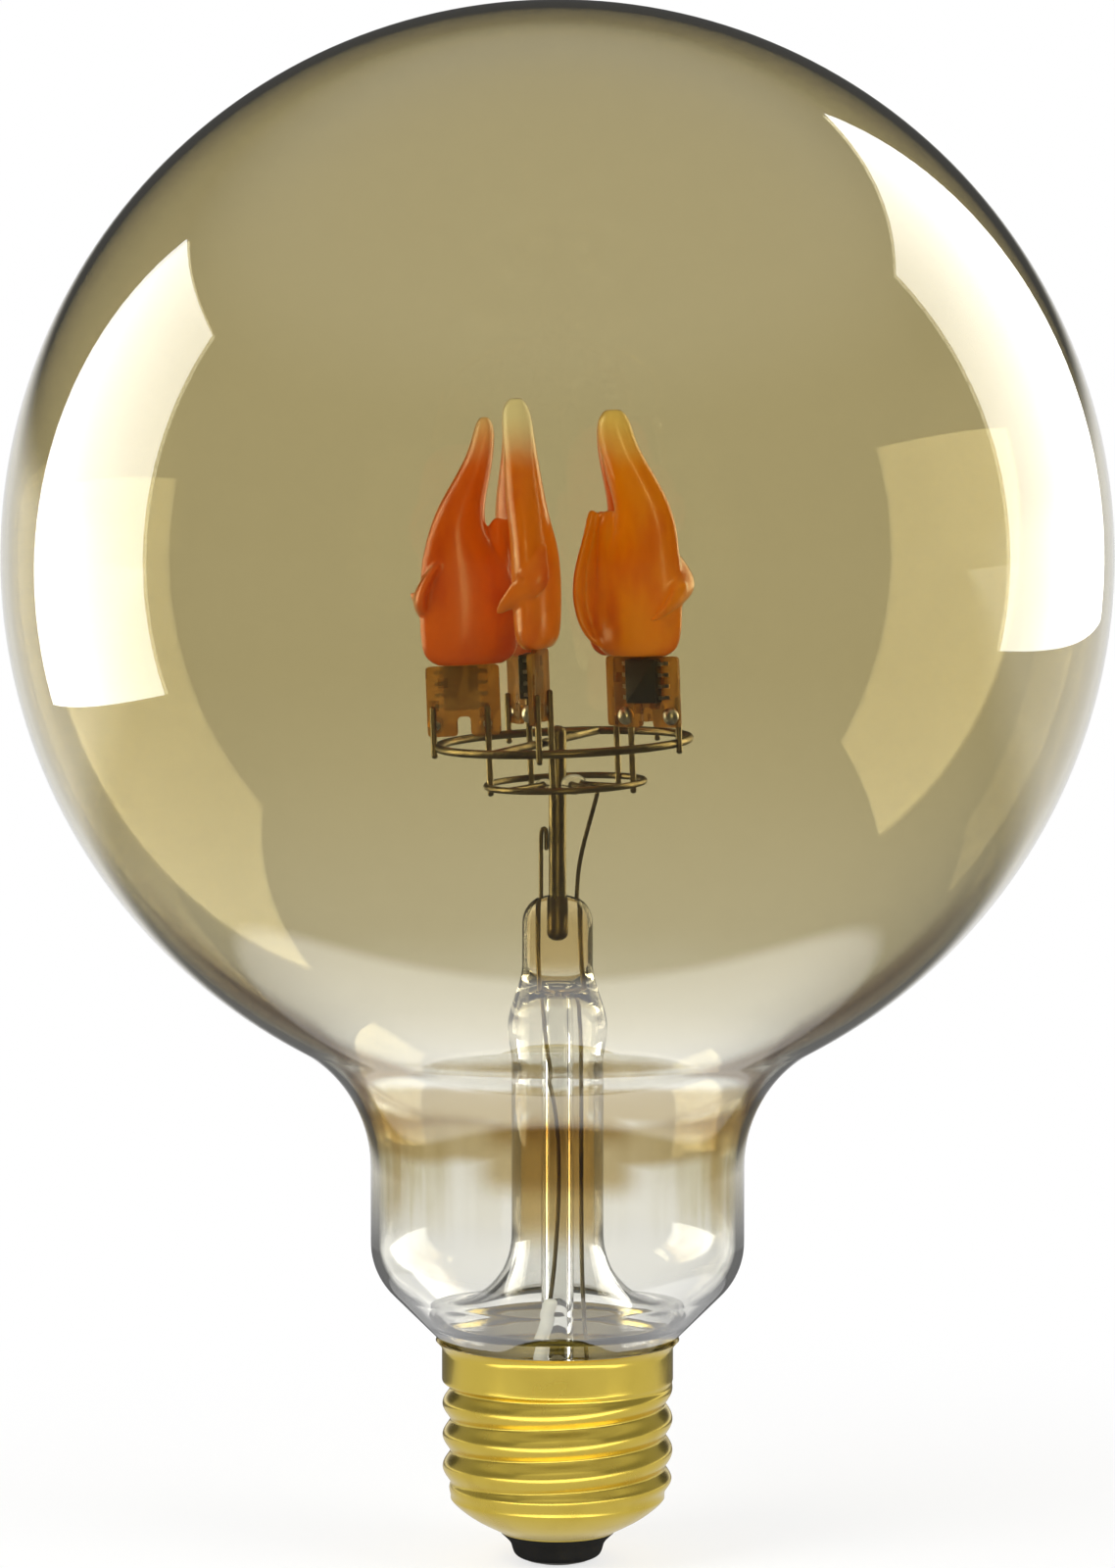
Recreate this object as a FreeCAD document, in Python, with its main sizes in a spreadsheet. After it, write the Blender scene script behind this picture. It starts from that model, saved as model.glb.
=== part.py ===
import FreeCAD, Part
import math
import os
import Sketcher
from FreeCAD import Vector

# Flame effect lamp: a tinted glass globe on a screw cap, with a glass stem that carries
# two wire rings and the flame modules welded to them. Origin at the bottom of the centre
# contact, on the axis of the cap, +Z up, millimetres and degrees.
SIZES = {
    # Globe, neck and the glass end that sits in the cap
    "globe_radius": 62.5,
    "glass_wall": 0.9,
    "neck_radius": 21.2,
    "neck_blend": 16.0,
    "neck_straight": 8.52,
    "shoulder_blend": 8.0,
    "seat_top": 24.54,
    "seat_bottom": 21.3,
    # Screw cap
    "shell_wall": 0.35,
    "collar_radius": 13.15,
    "cement_space": 0.6,
    "rim_flare": 0.7,
    "rim_level": 25.6,
    "rim_drop": 1.0,
    "collar_bottom": 20.9,
    "collar_step": 0.4,
    "thread_root": 12.35,
    "thread_crest": 13.1,
    "thread_pitch": 3.629,
    "thread_turns": 2.79,
    "thread_start": 8.0,
    "thread_ridge": 2.9,
    "thread_lead_in": 0.1,
    "skirt_level": 6.9,
    "skirt_radius": 11.7,
    "skirt_run": 2.2,
    "skirt_drop": 1.5,
    "foot_level": 3.5,
    "foot_radius": 6.5,
    # Insulator and centre contact
    "insulator_waist": 5.15,
    "insulator_step": 0.4,
    "insulator_rim": 0.6,
    "insulator_top": 6.8,
    "contact_radius": 3.7,
    "contact_flat": 2.6,
    "contact_depth": 0.5,
    "rivet_radius": 0.85,
    "fit_gap": 0.05,
    # Driver in the cap
    "driver_level": 9.6,
    "driver_radius": 10.8,
    "driver_thickness": 1.0,
    "rectifier_length": 4.8,
    "rectifier_width": 3.9,
    "rectifier_depth": 1.6,
    "rectifier_place": 5.6,
    "capacitor_radius": 3.0,
    "capacitor_length": 7.0,
    "capacitor_place": 6.2,
    # Stem, exhaust tube and pinch
    "stem_wall": 1.0,
    "flare_radius": 14.7,
    "tube_radius": 5.2,
    "bulge_radius": 5.65,
    "bulge_level": 60.5,
    "pinch_level": 67.6,
    "pinch_top": 76.5,
    "cavity_crown": 1.6,
    "bulge_taper": 3.0,
    "pinch_half_width": 4.0,
    "pinch_half_depth": 2.9,
    "exhaust_radius": 1.85,
    "exhaust_wall": 0.7,
    "exhaust_bottom": 13.0,
    # Post and lead wires
    "post_radius": 1.0,
    "post_bottom": 71.5,
    "post_top": 95.5,
    "lead_radius": 0.25,
    "left_lead_offset": 1.86,
    "left_lead_start": 3.2,
    "left_lead_seat": 2.6,
    "left_lead_flare": 0.5,
    "left_lead_tube": 0.6,
    "right_lead_offset": 2.15,
    "right_lead_start": 4.4,
    "right_lead_tube": 2.7,
    "right_lead_azimuth": -65.0,
    "right_lead_bend": 1.5,
    "lead_front": 2.6,
    "lead_flare_rise": 9.5,
    "lead_tube_drop": 12.0,
    "lead_cavity_drop": 1.5,
    "lead_pinch_rise": 2.5,
    "hook_level": 83.9,
    "weld_level": 81.7,
    "kink_level": 79.5,
    "sleeve_radius": 0.8,
    "sleeve_low": 0.30,
    "sleeve_high": 0.86,
    # Wire rings
    "frame_tilt": 2.2,
    "frame_shift": 0.7,
    "upper_ring_level": 93.75,
    "upper_ring_radius": 14.2,
    "upper_wire": 0.475,
    "lower_ring_level": 89.1,
    "lower_ring_radius": 8.9,
    "lower_wire": 0.375,
    "bar_azimuth": 65.0,
    "weld_depth": 0.3,
    "bead_left_radius": 1.0,
    "bead_left_height": 1.15,
    "bead_left_place": 2.35,
    "bead_left_front": 0.8,
    "bead_right_radius": 1.45,
    "bead_right_height": 1.9,
    "bead_right_place": 0.95,
    "bead_right_front": 1.6,
    "spoke_1_across": -2.5,
    "spoke_1_along": -1.3,
    "spoke_1_azimuth": 225.0,
    "spoke_2_across": 0.75,
    "spoke_2_along": -2.3,
    "spoke_2_azimuth": 291.0,
    "spoke_3_across": 1.75,
    "spoke_3_along": -1.75,
    "spoke_3_azimuth": 315.0,
    # Flame modules
    "module_count": 5,
    "first_azimuth": 41.0,
    "lift_1": 0.0,
    "lift_2": 0.0,
    "lift_3": 0.0,
    "lift_4": 2.0,
    "lift_5": 0.6,
    "board_inner": 7.0,
    "board_outer": 15.3,
    "board_bottom": 95.0,
    "board_thickness": 0.6,
    "board_notch_width": 1.5,
    "board_notch_height": 2.2,
    "tongue_inner": 8.8,
    "tongue_outer": 12.8,
    "tongue_length": 13.6,
    "pin_radius": 0.3,
    "pin_top": 98.4,
    "pin_tail": 0.6,
    "solder_radius": 0.95,
    "solder_level": 96.3,
    "chip_level": 100.3,
    "chip_length": 4.9,
    "chip_width": 3.9,
    "chip_depth": 1.45,
    "chip_centre": 11.3,
    "leg_span": 6.0,
    "leg_pitch": 1.27,
    "leg_width": 0.42,
    "leg_thickness": 0.2,
    "leg_shoulder": 0.55,
    "die_length": 1.6,
    "die_width": 0.8,
    "die_depth": 0.35,
    "die_spacing": 2.5,
    "die_first": 1.6,
    # Flame form
    "flame_bottom": 103.0,
    "flame_height": 27.6,
    "flame_width": 11.4,
    "flame_depth": 6.0,
    "flame_centre": 10.2,
    "flame_lean": 1.7,
    "flame_sway": 2.6,
}

# The main tongue of a flame: height as a share of the flame's height, half width and half
# depth as shares of the body's, and how much of the lean and of the sway it has taken.
MAIN_TONGUE = (
    (0.0, 0.60, 0.55, 0.0, 0.08),
    (0.022, 0.84, 0.80, 0.0, 0.08),
    (0.058, 0.95, 0.93, 0.0, 0.10),
    (0.145, 1.0, 1.0, 0.0, 0.12),
    (0.326, 0.99, 1.0, -0.03, 0.15),
    (0.435, 0.82, 0.88, -0.41, 0.23),
    (0.543, 0.60, 0.80, -0.86, 0.35),
    (0.652, 0.48, 0.70, -0.53, 0.54),
    (0.761, 0.36, 0.60, 0.24, 0.73),
    (0.851, 0.28, 0.50, 0.74, 0.88),
    (0.924, 0.25, 0.46, 0.94, 0.96),
    (0.971, 0.21, 0.38, 1.0, 1.0),
    (1.0, 0.10, 0.18, 1.0, 1.0),
)
# The short tongue on the inner side: its fourth value is its place inwards of the centre,
# as a share of the body's half width.
SHORT_TONGUE = (
    (0.29, 0.38, 0.72, 0.48, 0.20),
    (0.417, 0.35, 0.60, 0.53, 0.33),
    (0.507, 0.29, 0.48, 0.57, 0.42),
    (0.565, 0.21, 0.34, 0.60, 0.46),
    (0.594, 0.09, 0.14, 0.60, 0.46),
)
# The spike on the outer side grows outwards: reach as a share of the half width, height
# as a share of the flame's height, half height and half depth as shares of the half width.
OUTER_SPIKE = (
    (0.78, 0.225, 0.34, 0.28),
    (0.99, 0.255, 0.20, 0.16),
    (1.17, 0.300, 0.06, 0.05),
)
# The stem's pinch: height as a share of its own, half width and half depth as shares.
PINCH_SECTIONS = (
    (-0.03, 0.985, 1.3),
    (0.30, 1.0, 1.0),
    (0.62, 0.97, 0.98),
    (0.86, 0.78, 0.80),
    (1.0, 0.3, 0.32),
)
DIES_PER_FACE = 5
LEGS_PER_SIDE = 4
SPOKES = 3

TURN = 360.0
DOC = FreeCAD.newDocument("flame_lamp")
SHEET = DOC.addObject("Spreadsheet::Sheet", "size")
NODES = {}


def fill_sheet():
    """Write every driving dimension into the sheet under its own name."""
    for row, (name, value) in enumerate(SIZES.items(), start=1):
        SHEET.set(f"A{row}", name)
        SHEET.set(f"B{row}", str(value))
        SHEET.setAlias(f"B{row}", name)
    DOC.recompute()


def number(expression):
    """Work out an expression of the sheet's names as a plain number."""
    return float(SHEET.evalExpression(str(expression)))


def node(name, shape_object):
    """Label an object as one sub-part of the lamp."""
    shape_object.Label = name
    NODES[name] = shape_object
    return shape_object


# Outlines: each corner is (x, y, bend), with expressions for its place. The bend shapes
# the edge that leaves the corner: None is straight, (radius, side) an arc whose centre
# lies left (+1) or right (-1) of the way round.
def arc_between(start, end, radius, side):
    """The short arc of a given radius from start to end."""
    chord = end.sub(start)
    half = chord.Length / 2
    rise = math.sqrt(max(radius * radius - half * half, 0))
    left = Vector(-chord.y, chord.x, 0).normalize()
    centre = (start + end) * 0.5 + left * (rise * side)
    first, last = (start, end) if side > 0 else (end, start)
    begin = math.atan2(first.y - centre.y, first.x - centre.x)
    finish = math.atan2(last.y - centre.y, last.x - centre.x)
    if finish < begin:
        finish += 2 * math.pi
    circle = Part.Circle(centre, Vector(0, 0, 1), radius)
    return Part.ArcOfCircle(circle, begin, finish)


def bound(sketch, kind, *places):
    """Add one constraint whose last entry is an expression, and bind it to the sheet."""
    expression = str(places[-1])
    constraint = Sketcher.Constraint(kind, *places[:-1], number(expression))
    index = sketch.addConstraint(constraint)
    sketch.setExpression(f"Constraints[{index}]", expression)


def draw_outline(sketch, corners):
    """Draw a closed loop through the corners, each place and radius tied to the sheet."""
    points = [Vector(number(x), number(y), 0) for x, y, _ in corners]
    ends = []
    for index, (_, _, bend) in enumerate(corners):
        start = points[index]
        end = points[(index + 1) % len(points)]
        if bend is None:
            edge = sketch.addGeometry(Part.LineSegment(start, end))
            ends.append((edge, 1, 2))
            continue
        radius, side = bend
        edge = sketch.addGeometry(arc_between(start, end, number(radius), side))
        ends.append((edge, 1, 2) if side > 0 else (edge, 2, 1))
        bound(sketch, "Radius", edge, radius)
    for index, (x, y, _) in enumerate(corners):
        edge, first, _ = ends[index]
        before, _, last = ends[index - 1]
        sketch.addConstraint(Sketcher.Constraint("Coincident", before, last, edge, first))
        bound(sketch, "DistanceX", -1, 1, edge, first, x)
        bound(sketch, "DistanceY", -1, 1, edge, first, y)


def sketch_on(body, name, role="XZ_Plane"):
    """Start a sketch on one of the body's own origin planes."""
    sketch = body.newObject("Sketcher::SketchObject", name)
    plane = next(item for item in body.Origin.OriginFeatures if item.Role == role)
    sketch.AttachmentSupport = (plane, [""])
    sketch.MapMode = "FlatFace"
    return sketch


def turned(name, corners):
    """A turned piece: the outline in the XZ plane, revolved about the lamp's axis."""
    body = DOC.addObject("PartDesign::Body", name)
    sketch = sketch_on(body, name + "_profile")
    draw_outline(sketch, corners)
    turn = body.newObject("PartDesign::Revolution", name + "_turn")
    turn.Profile = sketch
    turn.ReferenceAxis = (sketch, ["V_Axis"])
    turn.Angle = TURN
    body.Tip = turn
    return body


def plate(name, corners, thickness, role="XZ_Plane"):
    """A flat piece: the outline padded by half its thickness to each side."""
    body = DOC.addObject("PartDesign::Body", name)
    sketch = sketch_on(body, name + "_profile", role)
    draw_outline(sketch, corners)
    pad = body.newObject("PartDesign::Pad", name + "_pad")
    pad.Profile = sketch
    pad.Midplane = True
    pad.setExpression("Length", thickness)
    body.Tip = pad
    return body


def place(item, x=0, y=0, z=0, turn="rotation(vector(0; 0; 1); 0)"):
    """Tie an object's placement to the sheet."""
    item.setExpression("Placement", f"placement(vector({x}; {y}; {z}); {turn})")
    return item


def rod(name, radius, length, x=0, y=0, z=0, turn="rotation(vector(0; 0; 1); 0)"):
    """A straight round rod from a start point."""
    item = DOC.addObject("Part::Cylinder", name)
    item.setExpression("Radius", radius)
    item.setExpression("Height", length)
    return place(item, x, y, z, turn)


def hoop(name, radius, wire, level):
    """A closed ring of round wire."""
    ring = DOC.addObject("Part::Torus", name)
    ring.setExpression("Radius1", radius)
    ring.setExpression("Radius2", wire)
    return place(ring, z=level)


def glass_drop(name, radius, height, x, y, z):
    """A bead of glass, round in plan and domed above and below."""
    straight = f"({height} - {radius})"
    bead = turned(name, (
        ("0", f"-{height}", (radius, 1)),
        (radius, f"-{straight}", None),
        (radius, straight, (radius, 1)),
        ("0", height, None),
    ))
    return place(bead, x, y, z)


def group(name, items):
    """Several objects as one shape, each kept apart."""
    together = DOC.addObject("Part::Compound", name)
    together.Links = items
    return together


def cut(name, base, tools):
    """What is left of a piece where others pass through it."""
    left = DOC.addObject("Part::Cut", name)
    left.Base = base
    left.Tool = tools[0] if len(tools) == 1 else group(name + "_tools", tools)
    return left


def oval(name, half_width, half_depth, x, y, z, turn="rotation(vector(0; 0; 1); 0)"):
    """One elliptic section of a lofted form."""
    section = DOC.addObject("Part::Ellipse", name)
    section.setExpression("MajorRadius", half_width)
    section.setExpression("MinorRadius", half_depth)
    return place(section, x, y, z, turn)


def loft(name, sections):
    """A smooth solid through its sections."""
    form = DOC.addObject("Part::Loft", name)
    form.Sections = sections
    form.Solid = True
    form.Ruled = False
    return form


def bent_wire(points, radius, bend):
    """A round wire through 3D points, with a tangent arc at every inner point."""
    edges = []
    start = points[0]
    for before, corner, after in zip(points, points[1:], points[2:]):
        back = before.sub(corner).normalize()
        ahead = after.sub(corner).normalize()
        half_turn = (math.pi - back.getAngle(ahead)) / 2
        longest = 0.45 * min(before.distanceToPoint(corner), after.distanceToPoint(corner))
        reach = min(bend * math.tan(half_turn), longest)
        arc_radius = reach / math.tan(half_turn)
        inside = (back + ahead).normalize()
        middle = corner + inside * (arc_radius / math.cos(half_turn) - arc_radius)
        edges.append(Part.LineSegment(start, corner + back * reach).toShape())
        edges.append(Part.Arc(corner + back * reach, middle, corner + ahead * reach).toShape())
        start = corner + ahead * reach
    edges.append(Part.LineSegment(start, points[-1]).toShape())
    path = Part.Wire(edges)
    ring = Part.Circle(points[0], points[1].sub(points[0]), radius).toShape()
    return path.makePipeShell([Part.Wire([ring])], True, False)


def formed_wire(name, points, radius, bend):
    """A bent wire as an object of the document."""
    wire = DOC.addObject("Part::Feature", name)
    wire.Shape = bent_wire(points, radius, bend)
    return wire


# Glass globe: sphere, concave blend into the neck, rounded shoulder, 45 degree cone and
# the straight end inside the cap. The inner face runs one wall inside the outer one. The
# cone starts at the seat's level, so the shoulder, the neck and the globe stand on it. The
# end in the cap leaves the cement's space inside the collar.
DIAGONAL = "cos(45)"
SEAT_RADIUS = "(size.collar_radius - size.shell_wall - size.cement_space)"
CONE_REACH = f"(size.neck_radius - size.shoulder_blend + size.shoulder_blend * {DIAGONAL})"
SHOULDER_LEVEL = f"(size.seat_top + {CONE_REACH} - {SEAT_RADIUS} + size.shoulder_blend * {DIAGONAL})"
SPAN = "(size.globe_radius + size.neck_blend)"
SIDE = "(size.neck_radius + size.neck_blend)"
DROP = f"sqrt({SPAN} * {SPAN} - {SIDE} * {SIDE})"
CENTRE = f"({SHOULDER_LEVEL} + size.neck_straight + {DROP})"


def glass_faces(inset):
    """Corners of the globe's face at a depth inside the outer one, from the top down."""
    ball = f"(size.globe_radius - {inset})"
    neck = f"(size.neck_radius - {inset})"
    hollow = f"(size.neck_blend + {inset})"
    shoulder = f"(size.shoulder_blend - {inset})"
    seat = f"({SEAT_RADIUS} - {inset})"
    blend_x = f"({ball} * {SIDE} / {SPAN})"
    blend_z = f"({CENTRE} - {ball} * {DROP} / {SPAN})"
    cone_x = f"({neck} - {shoulder} + {shoulder} * {DIAGONAL})"
    cone_z = f"({SHOULDER_LEVEL} - {shoulder} * {DIAGONAL})"
    return (
        ("0", f"{CENTRE} + {ball}", (ball, -1)),
        (blend_x, blend_z, (hollow, 1)),
        (neck, f"{CENTRE} - {DROP}", None),
        (neck, SHOULDER_LEVEL, (shoulder, -1)),
        (cone_x, cone_z, None),
        (seat, f"{cone_z} - {cone_x} + {seat}", None),
        (seat, "size.seat_bottom", None),
    )


def glass_globe():
    """The blown globe, one wall all over, open at the bottom of its neck."""
    outer = glass_faces("0")
    inner = glass_faces("size.glass_wall")
    corners = list(outer)
    for index in range(len(inner) - 1, -1, -1):
        x, z, _ = inner[index]
        bend = inner[index - 1][2] if index else None
        if bend is not None:
            bend = (bend[0], -bend[1])
        corners.append((x, z, bend))
    node("glass_globe", turned("glass_globe", corners))


# Stem: the flare lies on the inside of the neck's cone, a quarter arc takes it up into
# the tube, and the flattened pinch closes the top round the post and the lead wires.
CAVITY_TOP = "(size.pinch_level - size.cavity_crown)"


def cone_inside(radius):
    """Height of the neck cone's inner face at a radius, with the sealing gap."""
    shoulder = "(size.shoulder_blend - size.glass_wall)"
    cone_x = f"(size.neck_radius - size.shoulder_blend + {shoulder} * {DIAGONAL})"
    cone_z = f"({SHOULDER_LEVEL} - {shoulder} * {DIAGONAL})"
    return f"({cone_z} - {cone_x} + {radius} + size.fit_gap)"


def stem_form():
    """The stem's flare, tube and pinch as one solid, before the wires pass through."""
    sweep = "(size.flare_radius - size.tube_radius)"
    outer_sweep = f"({sweep} + size.stem_wall)"
    rim = cone_inside("size.flare_radius")
    bevel = (
        f"((sqrt({sweep} * {sweep} + 2 * (2 * {sweep} * size.stem_wall"
        f" + size.stem_wall * size.stem_wall)) - {sweep}) / 2)"
    )
    bore = "(size.tube_radius - size.stem_wall)"
    bulge_bore = "(size.bulge_radius - size.stem_wall)"
    pinch = "size.pinch_half_width"
    corners = (
        ("size.flare_radius", rim, (sweep, -1)),
        ("size.tube_radius", f"{rim} + {sweep}", None),
        ("size.tube_radius", "size.bulge_level - size.bulge_taper", None),
        ("size.bulge_radius", "size.bulge_level", None),
        ("size.bulge_radius", "size.bulge_level + 1.5", None),
        (pinch, "size.pinch_level", None),
        ("0", "size.pinch_level", None),
        ("0", CAVITY_TOP, None),
        (f"{pinch} * 0.6", CAVITY_TOP, None),
        (bulge_bore, "size.bulge_level + 1", None),
        (bulge_bore, "size.bulge_level", None),
        (bore, "size.bulge_level - size.bulge_taper", None),
        (bore, f"{rim} + {sweep}", (outer_sweep, 1)),
        (f"size.flare_radius - {bevel}", f"{rim} - {bevel}", None),
    )
    tube = turned("stem_tube_form", corners)
    height = "(size.pinch_top - size.pinch_level)"
    sections = []
    for index, (rise, wide, deep) in enumerate(PINCH_SECTIONS):
        half_width = f"size.pinch_half_width * {wide}"
        half_depth = f"size.pinch_half_depth * {deep}"
        level = f"size.pinch_level + {height} * {rise}"
        sections.append(oval(f"pinch_section_{index}", half_width, half_depth, 0, 0, level))
    stem = DOC.addObject("Part::Fuse", "stem_form")
    stem.Base = tube
    stem.Tool = loft("pinch_form", sections)
    return stem


# The wire frame stands a little tilted and off the axis. It is built upright round its
# own axis, and each finished piece is then moved by FRAME.
FRAME = (
    "placement(vector(size.frame_shift; 0; size.upper_ring_level);"
    " rotation(vector(0; 1; 0); -size.frame_tilt))"
    " * placement(vector(0; 0; -size.upper_ring_level); rotation(vector(0; 0; 1); 0))"
)
OUTER_PIN = "(size.upper_ring_radius + size.upper_wire + size.pin_radius - size.weld_depth)"
INNER_PIN = "(size.lower_ring_radius - size.lower_wire - size.pin_radius + size.weld_depth)"
HALF_BOARD = "(size.board_thickness / 2)"
FLAT_TURN = "rotation(vector(0; 1; 0); 90)"


def azimuth(index):
    """Direction of a module round the frame's axis."""
    return f"(size.first_azimuth + {index} * {TURN} / size.module_count)"


def about_axis(angle, lift="0"):
    """The placement that swings a piece round the frame's axis and lifts it."""
    return f"placement(vector(0; 0; {lift}); rotation(vector(0; 0; 1); {angle}))"


def copy_at(name, form, placement):
    """One placed copy of a form."""
    item = group(name, [form])
    item.setExpression("Placement", placement)
    return item


def frame_point(radius, angle, level):
    """A point of the frame, given round its own axis, as it lies in the lamp."""
    tilt = math.radians(number("size.frame_tilt"))
    reach = number(radius) * math.cos(math.radians(angle))
    rise = number(level) - number("size.upper_ring_level")
    x = number("size.frame_shift") + reach * math.cos(tilt) - rise * math.sin(tilt)
    y = number(radius) * math.sin(math.radians(angle))
    z = number("size.upper_ring_level") + reach * math.sin(tilt) + rise * math.cos(tilt)
    return Vector(x, y, z)


def board_form():
    """The circuit board: a wide foot with a notch, and a narrow tongue up the flame."""
    middle = "(size.board_inner + size.board_outer) / 2"
    notch = "size.board_notch_width / 2"
    foot_top = "(size.flame_bottom - size.fit_gap)"
    top = f"({foot_top} + size.tongue_length)"
    notch_top = "size.board_bottom + size.board_notch_height"
    corners = (
        ("size.board_inner", "size.board_bottom", None),
        (f"{middle} - {notch}", "size.board_bottom", None),
        (f"{middle} - {notch}", notch_top, ("size.board_notch_width * 0.55", -1)),
        (f"{middle} + {notch}", notch_top, None),
        (f"{middle} + {notch}", "size.board_bottom", None),
        ("size.board_outer", "size.board_bottom", None),
        ("size.board_outer", foot_top, None),
        ("size.tongue_outer", foot_top, None),
        ("size.tongue_outer", top, None),
        ("size.tongue_inner", top, None),
        ("size.tongue_inner", foot_top, None),
        ("size.board_inner", foot_top, None),
    )
    return plate("board_form", corners, "size.board_thickness")


def die_form():
    """Light emitting dies in a row on both faces of the board's tongue."""
    dies = []
    middle = "(size.tongue_inner + size.tongue_outer) / 2"
    for index in range(DIES_PER_FACE):
        for side in (1, -1):
            die = DOC.addObject("Part::Box", f"die_{index}_{side}")
            die.setExpression("Length", "size.die_width")
            die.setExpression("Width", "size.die_depth")
            die.setExpression("Height", "size.die_length")
            face = HALF_BOARD if side > 0 else f"-{HALF_BOARD} - size.die_depth"
            level = f"size.flame_bottom + size.die_first + {index} * size.die_spacing"
            dies.append(place(die, f"{middle} - size.die_width / 2", face, level))
    return group("die_form", dies)


def chip_form():
    """The driver chip's moulded body on the board's back face."""
    chip = DOC.addObject("Part::Box", "chip_block")
    chip.setExpression("Length", "size.chip_width")
    chip.setExpression("Width", "size.chip_depth")
    chip.setExpression("Height", "size.chip_length")
    x = "size.chip_centre - size.chip_width / 2"
    y = f"-{HALF_BOARD} - size.leg_thickness / 2 - size.chip_depth"
    return place(chip, x, y, "size.chip_level - size.chip_length / 2")


def leg_form():
    """Eight gull wing legs, four to each side of the chip."""
    foot = f"({HALF_BOARD})"
    knee = f"({HALF_BOARD} + size.chip_depth * 0.55)"
    tip = "(size.leg_span / 2)"
    body = "(size.chip_width / 2)"
    metal = "size.leg_thickness"
    riser = f"({body} + size.leg_shoulder)"
    corners = (
        (tip, f"-{foot}", None),
        (tip, f"-{foot} - {metal}", None),
        (riser, f"-{foot} - {metal}", None),
        (riser, f"-{knee}", None),
        (body, f"-{knee}", None),
        (body, f"-{knee} + {metal}", None),
        (f"{riser} - {metal}", f"-{knee} + {metal}", None),
        (f"{riser} - {metal}", f"-{foot}", None),
    )
    leg = plate("leg_form_one", corners, "size.leg_width", "XY_Plane")
    mirrored = DOC.addObject("Part::Mirroring", "leg_form_other")
    mirrored.Source = leg
    mirrored.Normal = Vector(1, 0, 0)
    pair = group("leg_pair", [leg, mirrored])
    legs = []
    for index in range(LEGS_PER_SIDE):
        row = group(f"leg_row_{index}", [pair])
        level = f"size.chip_level + {index - (LEGS_PER_SIDE - 1) / 2} * size.leg_pitch"
        legs.append(place(row, "size.chip_centre", 0, level))
    return group("leg_form", legs)


def solder_form():
    """Two domes of solder on the board's back face, behind the pins."""
    domes = []
    for index, reach in enumerate((INNER_PIN, OUTER_PIN)):
        dome = DOC.addObject("Part::Sphere", f"solder_dome_{index}")
        dome.setExpression("Radius", "size.solder_radius")
        dome.Angle3 = TURN / 2
        turn = "rotation(vector(0; 0; 1); 180)"
        outward = f"min({reach}; size.board_outer - size.solder_radius)"
        domes.append(place(dome, outward, f"-{HALF_BOARD}", "size.solder_level", turn))
    return group("solder_form", domes)


def pin_form(name, reach, level, wire, lift):
    """A straight pin on the board's front face, down past its ring."""
    side = f"({HALF_BOARD} + size.pin_radius)"
    bottom = f"({level} - {wire} - size.pin_tail)"
    return rod(name, "size.pin_radius", f"size.pin_top + {lift} - {bottom}", reach, side, bottom)


def flame_form(inside):
    """The moulded flame: main tongue, short inner tongue and outer spike, less its core."""
    half_width = "(size.flame_width / 2)"
    half_depth = "(size.flame_depth / 2)"
    tongues = []
    for name, shares in (("main", MAIN_TONGUE), ("short", SHORT_TONGUE)):
        unit = "size.flame_lean" if name == "main" else half_width
        sections = []
        for index, (rise, wide, deep, lean, sway) in enumerate(shares):
            across = f"size.flame_centre - {unit} * {lean}"
            along = f"-size.flame_sway * {sway}"
            level = f"size.flame_bottom + size.flame_height * {rise}"
            width = f"{half_width} * {wide}"
            depth = f"min({half_depth} * {deep}; {width} * 0.98)"
            sections.append(oval(f"{name}_section_{index}", width, depth, across, along, level))
        tongues.append(loft(f"{name}_tongue", sections))
    sections = []
    for index, (reach, rise, tall, deep) in enumerate(OUTER_SPIKE):
        across = f"size.flame_centre + {half_width} * {reach}"
        along = f"-size.flame_sway * {MAIN_TONGUE[4][4]}"
        level = f"size.flame_bottom + size.flame_height * {rise}"
        height = f"{half_width} * {tall}"
        depth = f"{half_width} * {deep}"
        sections.append(oval(f"spike_section_{index}", height, depth, across, along, level, FLAT_TURN))
    tongues.append(loft("outer_spike", sections))
    whole = DOC.addObject("Part::MultiFuse", "flame_whole")
    whole.Shapes = tongues
    return cut("flame_form", whole, inside)


def flame_modules():
    """All modules round the frame. Returns the outer and inner pins before the tilt."""
    board = board_form()
    dies = die_form()
    forms = {
        "board": board,
        "flame": flame_form([board, dies]),
        "led_dies": dies,
        "chip": chip_form(),
        "chip_legs": leg_form(),
        "solder": solder_form(),
    }
    rings = {
        "outer_pin": (OUTER_PIN, "size.upper_ring_level", "size.upper_wire"),
        "inner_pin": (INNER_PIN, "size.lower_ring_level", "size.lower_wire"),
    }
    pins = {name: [] for name in rings}
    for index in range(int(number("size.module_count"))):
        module = index + 1
        lift = f"size.lift_{module}"
        for part_name, form in forms.items():
            name = f"{part_name}_{module}"
            node(name, copy_at(name, form, f"{FRAME} * {about_axis(azimuth(index), lift)}"))
        for part_name, (reach, level, wire) in rings.items():
            name = f"{part_name}_{module}"
            straight = pin_form(f"{name}_form", reach, level, wire, lift)
            upright = copy_at(f"{name}_upright", straight, about_axis(azimuth(index)))
            pins[part_name].append(upright)
            node(name, copy_at(name, upright, FRAME))
    return pins["outer_pin"], pins["inner_pin"]


def rod_between(name, radius, start, end, level):
    """A level rod between two points of the frame."""
    run_x = f"({end[0]} - {start[0]})"
    run_y = f"({end[1]} - {start[1]})"
    length = f"sqrt({run_x} * {run_x} + {run_y} * {run_y})"
    turn = f"rotation(vector(0; 0; 1); atan2({run_y}; {run_x})) * {FLAT_TURN}"
    return rod(name, radius, length, start[0], start[1], level, turn)


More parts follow.
